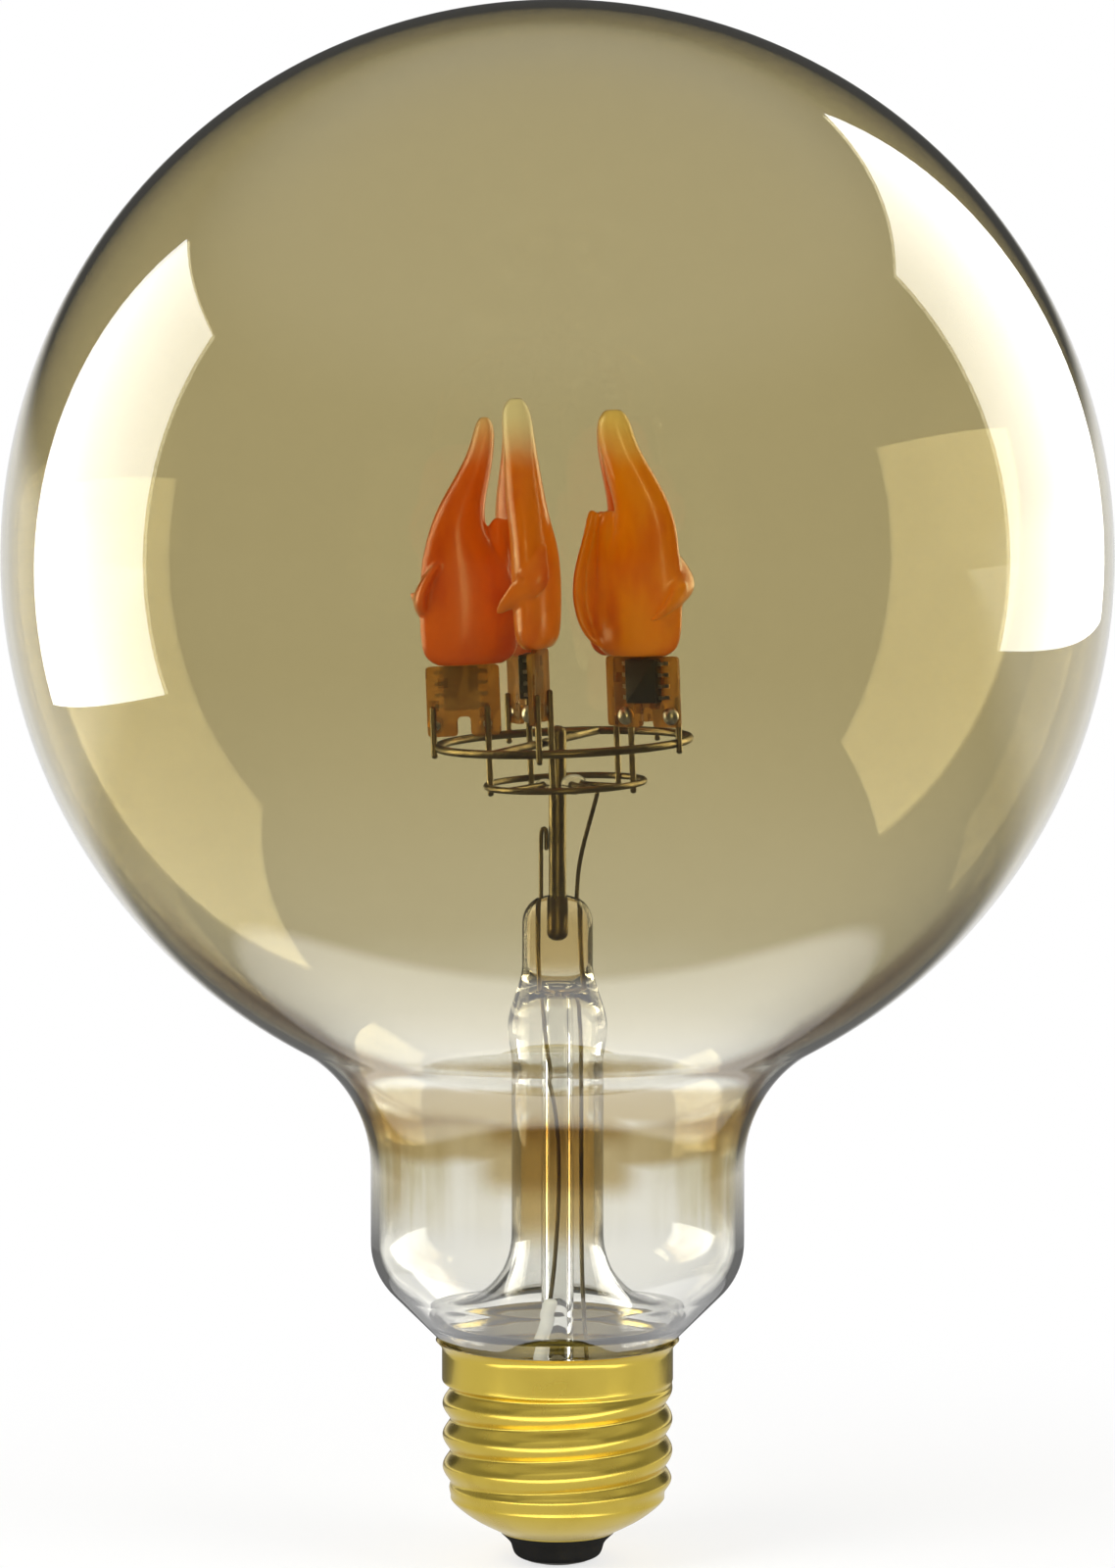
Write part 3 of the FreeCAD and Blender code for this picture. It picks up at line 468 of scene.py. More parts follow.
def new_group(name: str, inputs: dict[str, Any], outputs: dict[str, str], fill: Callable) -> Tree:
    """Makes a node group once.

    Args:
        name: Name of the group.
        inputs: Default number or colour of each input.
        outputs: Socket type of each output, Float, Color or Vector.
        fill: Called with (graph, inputs node, outputs node) to add the nodes.

    Returns:
        The group.
    """
    if name in bpy.data.node_groups:
        return bpy.data.node_groups[name]
    tree = bpy.data.node_groups.new(name, "ShaderNodeTree")
    for key, value in inputs.items():
        kind = "NodeSocketColor" if isinstance(value, tuple) else "NodeSocketFloat"
        socket = tree.interface.new_socket(key, in_out="INPUT", socket_type=kind)
        socket.default_value = rgba(value) if isinstance(value, tuple) else value
    for key, kind in outputs.items():
        tree.interface.new_socket(key, in_out="OUTPUT", socket_type="NodeSocket" + kind)
    graph = Graph(tree)
    start = tree.nodes.new("NodeGroupInput")
    end = tree.nodes.new("NodeGroupOutput")
    fill(graph, start, end)
    return tree


SKIN = {"Colour": "Color", "Roughness": "Float", "Height": "Float"}


def metal_wear() -> Tree:
    """Tone, roughness and height of handled sheet metal or drawn wire."""

    def fill(graph: Graph, start: Node, end: Node) -> None:
        given = start.outputs
        streak = graph.noise(900.0, 2.0, 0.08)
        grain = graph.noise(6000.0, 2.0)
        tone = graph.times(graph.remap(graph.noise(190.0, 4.0), 0.45, 0.75), given["Stain"])
        rough = graph.math("MULTIPLY_ADD", streak, given["Spread"], given["Roughness"])
        graph.link(graph.mix(tone, given["Colour"], given["Dark"]), end, "Colour")
        graph.link(graph.math("MULTIPLY_ADD", tone, 0.25, rough), end, "Roughness")
        graph.link(graph.math("MULTIPLY_ADD", grain, 0.35, streak), end, "Height")

    inputs = {"Colour": (0.8, 0.8, 0.8), "Dark": (0.4, 0.4, 0.4), "Stain": 0.4, "Roughness": 0.2,
              "Spread": 0.1}
    return new_group("metal wear", inputs, SKIN, fill)


def moulded_skin() -> Tree:
    """Tone, roughness and height of a moulded or laminated surface."""

    def fill(graph: Graph, start: Node, end: Node) -> None:
        given = start.outputs
        cloud = graph.noise(260.0, 4.0)
        speck = graph.noise(2600.0, 2.0)
        amount = graph.times(graph.remap(cloud, 0.3, 0.7), given["Variation"])
        graph.link(graph.mix(amount, given["Colour"], given["Second"]), end, "Colour")
        graph.link(graph.math("MULTIPLY_ADD", speck, 0.12, given["Roughness"]), end, "Roughness")
        graph.link(graph.math("MULTIPLY_ADD", cloud, 0.3, speck), end, "Height")

    inputs = {"Colour": (0.5, 0.5, 0.5), "Second": (0.3, 0.3, 0.3), "Variation": 0.5, "Roughness": 0.4}
    return new_group("moulded skin", inputs, SKIN, fill)


@dataclass(frozen=True)
class CoatAndShadeHeights:
    """Heights in metres between which the glass carries its amber deposit and darker bands, and at which its
    limb takes painted shade.
    """

    neck: Band = (0.0372, 0.0440, 0.0530, 0.0550)
    ball: Range = (0.0550, 0.0690)
    ball_full: Range = (0.066, 0.100)
    bend: Band = (0.0475, 0.0495, 0.0530, 0.0545)
    arch: Range = (0.0435, 0.0475)
    arch_half: Range = (0.0105, 0.0060)
    cone: Range = (0.0375, 0.0345)
    # heights of the painted limb shade: a dark line low on the ball, and shade that grows towards the top
    line: Band = (0.0515, 0.0530, 0.066, 0.082)
    graze: Range = (0.075, 0.172)
    drift: float = 0.003


def amber_coat_and_shade() -> Tree:
    """How much of the amber tint a height on the glass carries, none below the shoulder, and how much painted
    shade its limb takes there.
    """
    at = CoatAndShadeHeights()

    def fill(graph: Graph, start: Node, end: Node) -> None:
        split = graph.split()
        drift = graph.math("MULTIPLY_ADD", graph.noise(60.0, 2.0), at.drift, -at.drift / 2)
        height = graph.math("ADD", split[2], drift)
        streak = graph.remap(graph.noise(420.0, 2.0, 0.03), 0.38, 0.62, 0.55, 1.25)
        arch = graph.remap(graph.math("ABSOLUTE", split[0]), *at.arch_half)
        arch = graph.times(arch, graph.remap(height, *at.arch))
        arch = graph.times(arch, graph.remap(height, at.bend[3], at.bend[2]))
        full = graph.remap(height, *at.ball_full, 0.80, 1.0)
        masks = {
            "Neck": graph.times(graph.band(height, at.neck), streak),
            "Ball": graph.times(graph.remap(height, *at.ball), full),
            "Bend": graph.math("MAXIMUM", graph.band(height, at.bend), arch),
            # painted shade at the limb, growing towards the top
            "Graze": graph.remap(height, *at.graze, 0.05, 0.22),
            # painted dark line along the lower limb
            "Line": graph.band(height, at.line),
            "Cone": graph.remap(height, *at.cone),
        }
        for name, mask in masks.items():
            graph.link(mask, end, name)

    names = ("Neck", "Ball", "Bend", "Graze", "Line", "Cone")
    return new_group("amber coat", {}, dict.fromkeys(names, "Float"), fill)


def flame_skin() -> Tree:
    """Colour, roughness and height of the silicone: paler and yellower towards the tips."""

    def fill(graph: Graph, start: Node, end: Node) -> None:
        given = start.outputs
        drift = graph.math("MULTIPLY_ADD", graph.noise(170.0, 3.0), 0.004, -0.002)
        height = graph.math("ADD", graph.split()[2], drift)
        rise = graph.remap(height, 0.1245, 0.1320)
        low = graph.remap(height, 0.1075, 0.101)
        swirl = graph.remap(graph.noise(210.0, 3.0, 0.35), 0.42, 0.72)
        body = graph.mix(graph.times(swirl, 0.9), given["Body"], given["Deep"])
        base = graph.mix(graph.times(low, 0.5), body, given["Deep"])
        wave = graph.noise(420.0, 2.0)
        graph.link(graph.mix(rise, base, given["Tip"]), end, "Colour")
        graph.link(graph.math("MULTIPLY_ADD", wave, 0.1, given["Roughness"]), end, "Roughness")
        graph.link(wave, end, "Height")

    inputs = {"Body": (0.9, 0.3, 0.05), "Deep": (0.7, 0.1, 0.02), "Tip": (1.0, 0.8, 0.5), "Roughness": 0.2}
    return new_group("flame skin", inputs, SKIN, fill)


def board_print() -> Tree:
    """Colour of a laminate with copper tracks showing through its lacquer."""

    def fill(graph: Graph, start: Node, end: Node) -> None:
        given = start.outputs
        track = graph.remap(graph.noise(420.0, 1.0, 0.35), 0.52, 0.60)
        cell = graph.add("TexVoronoi", {"Vector": graph.place(), "Scale": 420.0}, distance="CHEBYCHEV")
        pad = graph.remap(cell.outputs[0], 0.26, 0.22)
        mark = graph.math("MAXIMUM", graph.times(track, 0.45), graph.times(pad, 0.75))
        mark = graph.times(mark, given["Marks"])
        graph.link(graph.mix(mark, given["Colour"], given["Dark"]), end, "Colour")
        graph.link(mark, end, "Height")

    inputs = {"Colour": (0.6, 0.4, 0.1), "Dark": (0.1, 0.07, 0.02), "Marks": 1.0}
    return new_group("board print", inputs, {"Colour": "Color", "Height": "Float"}, fill)


def emptied(tree: Tree) -> Graph:
    """A graph on a tree, without the nodes that it came with."""
    tree.nodes.clear()
    return Graph(tree)


def empty_material(name: str) -> tuple[bpy.types.Material, Graph]:
    """A new material and its empty graph."""
    material = bpy.data.materials.new(name)
    material.use_nodes = True
    return material, emptied(material.node_tree)


class Finish:
    """A surface that can be put on pieces. Its fields name the look in plain numbers."""

    name: str
    slot: Slot

    def shade(self, graph: Graph, surface: Node) -> Optional[Socket]:
        """Fills the Principled surface. May return another shader to show instead."""
        raise NotImplementedError

    def material(self) -> bpy.types.Material:
        """The Blender material, made once."""
        if self.name in bpy.data.materials:
            return bpy.data.materials[self.name]
        material, graph = empty_material(self.name)
        surface = graph.add("BsdfPrincipled")
        shown = self.shade(graph, surface) or surface.outputs[0]
        graph.add("OutputMaterial", {"Surface": shown})
        return material


def raise_height(graph: Graph, surface: Node, height: Socket, distance: float) -> None:
    """Feeds a height in metres to the surface's normal."""
    bump = graph.add("Bump", {"Strength": 1.0, "Distance": distance, "Height": height})
    graph.link(bump.outputs[0], surface, "Normal")


def cover(graph: Graph, surface: Node, skin: Node, relief: float) -> None:
    """Feeds a group's colour, roughness and height to the surface."""
    for source, target in (("Colour", "Base Color"), ("Roughness", "Roughness")):
        if source in skin.outputs:
            graph.link(skin.outputs[source], surface, target)
    raise_height(graph, surface, skin.outputs["Height"], relief)


def use_group(graph: Graph, tree: Tree, values: dict[str, Any]) -> Node:
    """Adds a node group with its input values."""
    node = graph.tree.nodes.new("ShaderNodeGroup")
    node.node_tree = tree
    for key, value in values.items():
        node.inputs[key].default_value = rgba(value) if isinstance(value, tuple) else value
    return node


def slant(graph: Graph) -> Socket:
    """How far the surface turns away from the view: 0 facing it, 1 along it."""
    return graph.add("LayerWeight", {"Blend": 0.5}).outputs["Facing"]


@dataclass(frozen=True)
class Metal(Finish):
    """Sheet metal or wire."""

    name: str
    slot: Slot
    colour: Colour
    dark: Colour
    roughness: float = 0.2
    spread: float = 0.1
    stain: float = 0.4
    relief: float = 2e-6

    def shade(self, graph: Graph, surface: Node) -> None:
        """Metallic surface with worn tone and fine drawing lines."""
        values = {"Colour": self.colour, "Dark": self.dark, "Stain": self.stain,
                  "Roughness": self.roughness, "Spread": self.spread}
        surface.inputs["Metallic"].default_value = 1.0
        cover(graph, surface, use_group(graph, metal_wear(), values), self.relief)


@dataclass(frozen=True)
class Moulded(Finish):
    """Plastic, cement or another dull solid."""

    name: str
    slot: Slot
    colour: Colour
    second: Colour
    roughness: float = 0.45
    variation: float = 0.6
    relief: float = 1.2e-5
    coat: float = 0.0
    specular: float = 0.5

    def shade(self, graph: Graph, surface: Node) -> None:
        """Plain solid with a clouded tone and fine grain."""
        values = {"Colour": self.colour, "Second": self.second, "Variation": self.variation,
                  "Roughness": self.roughness}
        surface.inputs["Coat Weight"].default_value = self.coat
        surface.inputs["Specular IOR Level"].default_value = self.specular
        cover(graph, surface, use_group(graph, moulded_skin(), values), self.relief)


@dataclass(frozen=True)
class Laminate(Finish):
    """Circuit board with tracks under lacquer."""

    name: str
    slot: Slot
    colour: Colour
    dark: Colour
    marks: float = 1.0
    roughness: float = 0.35
    solid: float = 1.0
    coat: float = 0.3
    relief: float = 3e-5

    def shade(self, graph: Graph, surface: Node) -> Optional[Socket]:
        """Lacquered laminate with darker tracks and pads, a little see-through."""
        values = {"Colour": self.colour, "Dark": self.dark, "Marks": self.marks}
        surface.inputs["Roughness"].default_value = self.roughness
        surface.inputs["Coat Weight"].default_value = self.coat
        cover(graph, surface, use_group(graph, board_print(), values), self.relief)
        if self.solid >= 1.0:
            return None
        clear = graph.add("BsdfTransparent", {"Color": rgba(self.colour)})
        return graph.mixed(self.solid, clear, surface).outputs[0]


@dataclass(frozen=True)
class Silicone(Finish):
    """Moulded translucent silicone of a flame."""

    name: str
    slot: Slot
    body: Colour
    deep: Colour
    tip: Colour
    # colour, slants and share of the painted glow of light shining through the rim
    rim: Colour = (1.0, 0.55, 0.10)
    rim_glow_from: Range = (0.55, 0.95)
    rim_glow_share: float = 0.55
    roughness: float = 0.3
    relief: float = 1.2e-4

    def shade(self, graph: Graph, surface: Node) -> None:
        """Glossy rubber that is paler towards its tips, with a painted glow of light shining through at its
        rim.
        """
        values = {"Body": self.body, "Deep": self.deep, "Tip": self.tip, "Roughness": self.roughness}
        skin = use_group(graph, flame_skin(), values)
        cover(graph, surface, skin, self.relief)
        # painted glow: paler orange where the flame is seen along
        thin = graph.times(graph.remap(slant(graph), *self.rim_glow_from), self.rim_glow_share)
        graph.link(graph.mix(thin, skin.outputs["Colour"], self.rim), surface, "Base Color")
        surface.inputs["IOR"].default_value = 1.42
        surface.inputs["Specular IOR Level"].default_value = 0.3
        surface.inputs["Coat Weight"].default_value = 0.9
        surface.inputs["Coat Roughness"].default_value = 0.2


@dataclass(frozen=True)
class Glass(Finish):
    """Clear glass that lets the lamps' light through. Its edges may carry painted shade."""

    name: str
    slot: Slot
    tint: Colour
    # colour of the painted shade at the edges; the coated glass uses it for deeper amber
    deep: Colour = (0.48, 0.40, 0.26)
    # share of painted shade at the edges, and the slant from which it starts
    edge: float = 0.0
    edge_shade_from: float = 0.55
    ior: float = 1.45

    def colour(self, graph: Graph) -> Socket:
        """Tint with a faint cloud, mixed with the deeper colour as painted shade where the wall is seen
        along.
        """
        second = tuple(value * 0.97 for value in self.tint)
        values = {"Colour": self.tint, "Second": second, "Variation": 0.5, "Roughness": 0.0}
        tone = use_group(graph, moulded_skin(), values)
        # painted shade at the edges, where the wall is seen along
        edge = graph.times(graph.remap(slant(graph), self.edge_shade_from, 0.95), self.edge)
        return graph.mix(edge, tone.outputs["Colour"], self.deep)

    def shadow(self, colour: Socket) -> Any:
        """Colour of the light that shadow rays bring through."""
        return rgba(self.tint)

    def shade(self, graph: Graph, surface: Node) -> Socket:
        """Transmitting surface, with plain tinted transparency for shadow rays."""
        surface.inputs["Roughness"].default_value = 0.0
        surface.inputs["IOR"].default_value = self.ior
        surface.inputs["Transmission Weight"].default_value = 1.0
        colour = self.colour(graph)
        graph.link(colour, surface, "Base Color")
        thin = graph.add("BsdfTransparent", {"Color": self.shadow(colour)})
        shadow = graph.add("LightPath").outputs["Is Shadow Ray"]
        return graph.mixed(shadow, surface, thin).outputs[0]


@dataclass(frozen=True)
class StainedGlass(Glass):
    """Clear glass with a brown stain between two heights, and a warm one from a height up, in metres."""

    stain: Band = (0.035, 0.040, 0.0505, 0.052)
    brown: Colour = (0.80, 0.69, 0.46)
    warm_from: Range = (0.0655, 0.0695)
    warm: Colour = (0.93, 0.80, 0.56)

    def colour(self, graph: Graph) -> Socket:
        """The clear glass's colour with both stains over it."""
        level = graph.split()[2]
        colour = graph.mix(graph.band(level, self.stain), super().colour(graph), self.brown)
        return graph.mix(graph.remap(level, *self.warm_from), colour, self.warm)


@dataclass(frozen=True)
class CoatedGlass(Glass):
    """Glass with an amber coat on its ball and neck, and painted shade at its limb. Pairs and fours are
    ranges of the slant.
    """

    # colour of the painted shade at the limb
    limb_shade: Colour = (0.16, 0.08, 0.02)
    bare: Colour = (0.94, 0.93, 0.875)
    cone: Colour = (0.92, 0.915, 0.88)
    bend: float = 0.9
    # share of the painted limb shade
    graze: float = 0.85
    neck_from: Range = (0.10, 0.50)
    neck_amount: Range = (0.25, 1.3)
    neck_side: Band = (0.38, 0.50, 0.56, 0.66)
    # slants at which the painted limb shade falls, on the ball and along the lower line
    ball_limb_shade: Range = (0.70, 0.84)
    low_limb_shade: Band = (0.66, 0.73, 0.78, 0.85)

    def shadow(self, colour: Socket) -> Any:
        """The shadow has the coat's colours."""
        return colour

    def colour(self, graph: Graph) -> Socket:
        """Bare glass, then amber by height, then deeper amber at the bend and where the neck is seen along,
        then painted shade at the limb.
        """
        coat = use_group(graph, amber_coat_and_shade(), {}).outputs
        turned = slant(graph)
        neck = graph.times(coat["Neck"], graph.remap(turned, *self.neck_from, *self.neck_amount))
        amount = graph.math("MAXIMUM", coat["Ball"], neck, clamp=True)
        colour = graph.mix(amount, graph.mix(coat["Cone"], self.bare, self.cone), self.tint)
        side = graph.times(graph.band(turned, self.neck_side), coat["Neck"])
        deeper = graph.math("MULTIPLY", graph.math("MAXIMUM", coat["Bend"], side), self.bend, clamp=True)
        colour = graph.mix(deeper, colour, self.deep)
        # painted shade at the limb: on the ball, and as a dark line low down
        high = graph.times(graph.remap(turned, *self.ball_limb_shade), coat["Graze"])
        high = graph.times(high, graph.math("SUBTRACT", 1.0, coat["Line"]))
        low = graph.times(graph.band(turned, self.low_limb_shade), coat["Line"])
        limb_shade = graph.times(graph.math("MAXIMUM", high, low), self.graze)
        return graph.mix(limb_shade, colour, self.limb_shade)


AMBER = CoatedGlass("amber glass", Slot.AMBER_GLASS, (0.645, 0.588, 0.402), (0.50, 0.385, 0.17))
# the next three carry painted shade at their edges
CLEAR = Glass("clear glass", Slot.CLEAR_GLASS, (0.98, 0.98, 0.965), edge=0.25)
STEM = StainedGlass("stem glass", Slot.CLEAR_GLASS, (0.98, 0.98, 0.965), edge=0.15)
BEAD = Glass("bead glass", Slot.CLEAR_GLASS, (0.92, 0.90, 0.84), (0.16, 0.12, 0.07), 0.95, edge_shade_from=0.3)
BRASS = Metal("brass", Slot.BRASS, (0.80, 0.60, 0.10), (0.62, 0.44, 0.06), 0.15, 0.10, 0.35, 2e-6)
NICKEL = Metal("nickel wire", Slot.NICKEL, (0.30, 0.24, 0.13), (0.10, 0.075, 0.03), 0.24, 0.15, 0.8, 3e-6)
TINNED = Metal("tinned metal", Slot.TINNED, (0.78, 0.77, 0.74), (0.5, 0.48, 0.44), 0.22, 0.15, 0.4, 4e-6)
CONTACT = Metal("contact metal", Slot.CONTACT, (0.72, 0.71, 0.67), (0.45, 0.43, 0.38), 0.3, 0.15, 0.5, 4e-6)
INSULATOR = Moulded("black insulator", Slot.INSULATOR, (0.013, 0.013, 0.013), (0.022, 0.021, 0.020), 0.55,
                    relief=8e-6, specular=0.25)
MOULD = Moulded("black mould", Slot.MOULD, (0.018, 0.017, 0.016), (0.035, 0.032, 0.028), 0.45, 0.6, 1.2e-5)
CEMENT = Moulded("cement", Slot.CEMENT, (0.62, 0.58, 0.50), (0.45, 0.41, 0.34), 0.85, 0.8, 6e-5)
SLEEVE = Moulded("white sleeve", Slot.SLEEVE, (0.80, 0.81, 0.80), (0.66, 0.67, 0.65), 0.5, 0.6, 2e-5)
DIE = Moulded("led die", Slot.DIE, (0.85, 0.72, 0.20), (0.75, 0.55, 0.12), 0.3, 0.6, 1e-5, coat=0.4)
BOARD = Laminate("board laminate", Slot.BOARD, (0.68, 0.42, 0.13), (0.05, 0.025, 0.01), 0.85, solid=0.35)
DRIVER = Laminate("driver laminate", Slot.DRIVER, (0.55, 0.46, 0.24), (0.22, 0.15, 0.06), 0.8)


def dress(piece: Piece, finish: Finish, *nodes: str) -> Piece:
    """Gives a piece its finish and its place in the frame.

    Args:
        piece: The new object.
        finish: The finish it takes.
        *nodes: Names of the CAD nodes that it stands for.

    Returns:
        The piece.
    """
    piece.data.materials.clear()
    piece.data.materials.append(finish.material())
    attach(piece, BODY)
    if nodes:
        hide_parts(*nodes)
    triangles = sum(len(face.vertices) - 2 for face in piece.data.polygons)
    LOG.info("%s: %d triangles, replaces %s", piece.name, triangles, ", ".join(nodes) or "nothing")
    return piece


@dataclass
class Globe:
    """The blown globe with its neck and the cone that sits in the cap."""

    radius: float = 62.5
    centre: float = 114.5
    wall: float = 0.9
    neck: float = 21.2
    blend: float = 16.0
    shoulder_level: float = 36.85
    shoulder: float = 8.0
    seat: float = 12.2
    bottom: float = 21.3
    segments: int = 208
    rows: tuple[int, int, int] = (96, 22, 14)
    inner_detail: float = 0.8

    def face(self, inset: float, detail: float) -> Array:
        """The face at a depth inside the outer one, from the pole down, as (radius, height)."""
        ball = self.radius - inset
        neck = self.neck - inset
        hollow = self.blend + inset
        shoulder = self.shoulder - inset
        seat = self.seat - inset
        span = self.radius + self.blend
        side = self.neck + self.blend
        drop = math.sqrt(span**2 - side**2)
        join = math.degrees(math.asin(-drop / span))
        level = self.centre - drop
        count = [int(rows * detail) for rows in self.rows]
        upper = arc((0.0, self.centre), ball, 90.0, join, count[0])
        lower = arc((side, level), hollow, 180.0 + join, 180.0, count[1])
        corner = arc((neck - shoulder, self.shoulder_level), shoulder, 0.0, -45.0, count[2])
        tangent = corner[-1]
        slope = np.linspace(tangent[0], seat, 8)
        cone = np.stack([slope, tangent[1] - tangent[0] + slope], -1)
        end = np.array([[seat, self.bottom]])
        profile = np.vstack([upper, lower[1:], corner, cone[1:], end])
        profile[0, 0] = 0.0
        return profile

    def build(self) -> Piece:
        """Closed shell of outer face, rim and inner face."""
        outer = self.face(0.0, 1.0)
        inner = self.face(self.wall, self.inner_detail)[::-1]
        builder = MeshBuilder()
        lathe(builder, np.vstack([outer, inner]), self.segments)
        return dress(builder.build("globe_glass", 50.0), AMBER, "glass_globe")


@dataclass
class Stem:
    """The inner glass: flare, tube and pinch, with the exhaust tube inside."""

    flare: float = 14.7
    flare_level: float = 28.42
    tube: float = 5.2
    bulge: float = 5.65
    wall: float = 1.0
    bulge_level: float = 60.5
    pinch: float = 67.6
    pinch_top: float = 76.5
    half_width: float = 4.0
    half_depth: float = 2.9
    cavity_top: float = 66.0
    exhaust: float = 1.85
    exhaust_wall: float = 0.7
    exhaust_bottom: float = 13.0
    swell: float = 3.5
    swell_length: float = 4.0
    dome: float = 3.4
    dome_power: float = 2.2
    top_wide: float = 0.16
    top_deep: float = 0.22
    segments: int = 96

    def outer(self) -> Array:
        """Outer face from the flare's rim up, as (half width, half depth, height)."""
        sweep = self.flare - self.tube
        foot = self.bulge_level - self.swell
        curve = arc((self.flare, self.flare_level + sweep), sweep, -90.0, -180.0, 26)
        straight = np.linspace((self.tube, self.flare_level + sweep), (self.tube, foot), 10)
        rise = np.linspace(0.0, 1.0, 14)
        radius = self.tube + (self.bulge - self.tube) * eased(rise)
        swell = np.stack([radius, foot + self.swell_length * rise], -1)
        round_part = np.vstack([curve, straight[1:], swell[1:]])
        level = np.linspace(swell[-1, 1] + 0.4, self.pinch_top, 34)
        ease = eased(np.clip((level - level[0]) / (self.pinch + 1.0 - level[0]), 0, 1))
        top = np.clip((self.pinch_top - level) / self.dome, 0, 1)
        close = np.sqrt(np.clip(1 - (1 - top) ** self.dome_power, 0, 1))
        wide = self.bulge + (self.half_width - self.bulge) * ease
        deep = self.bulge + (self.half_depth - self.bulge) * ease
        wide = wide * (self.top_wide + (1 - self.top_wide) * close)
        deep = deep * (self.top_deep + (1 - self.top_deep) * close)
        upper = np.stack([wide, deep, level], -1)
        lower = np.stack([round_part[:, 0], round_part[:, 0], round_part[:, 1]], -1)
        return np.vstack([lower, upper])

    def inner(self) -> Array:
        """Inner face from the cavity's top down to the flare's rim."""
        sweep = self.flare - self.tube + self.wall
        bore = self.tube - self.wall
        dome = arc((0.0, self.cavity_top - self.dome), self.dome, 90.0, 0.0, 10)
        dome[:, 0] *= (self.bulge - self.wall) / self.dome
        down = np.array([[self.bulge - self.wall, self.bulge_level], [bore, self.bulge_level - self.swell]])
        curve = arc((self.flare, self.flare_level + sweep - self.wall), sweep, -180.0, -97.0, 24)
        profile = np.vstack([dome, down, curve])
        profile[0, 0] = 0.0
        return profile

    def build(self) -> list[Piece]:
        """Stem glass and exhaust tube."""
        builder = MeshBuilder()
        sections = self.outer()
        angle = full_turn(self.segments)
        wide, deep, level = sections.T
        grid = np.stack([wide[:, None] * np.cos(angle), deep[:, None] * np.sin(angle),
                         np.broadcast_to(level[:, None], (len(level), self.segments))], -1)
        inside = self.inner()
        builder.grid(grid, wrap_columns=True)
        builder.fan(grid[-1], np.array([0.0, 0.0, self.pinch_top + 0.05]))
        lathe(builder, inside, self.segments)
        lip = np.array([[inside[-1, 0], inside[-1, 1]], [self.flare + 0.25, self.flare_level - 0.35],
                        [self.flare + 0.1, self.flare_level], [self.flare, self.flare_level]])
        lathe(builder, lip, self.segments)
        stem = dress(builder.build("stem_glass_body", 60.0), STEM, "stem_glass")
        bore = self.exhaust - self.exhaust_wall
        rim = self.exhaust_wall / 2
        tip = arc((bore + rim, self.exhaust_bottom + rim), rim, -180.0, 0.0, 7)
        top = [[bore, self.cavity_top]]
        profile = np.vstack([top, tip, [[self.exhaust, self.cavity_top]], top])
        pipe = MeshBuilder()
        lathe(pipe, profile, 48)
        exhaust = dress(pipe.build("exhaust_glass", 60.0), CLEAR, "exhaust_tube")
        return [stem, exhaust]


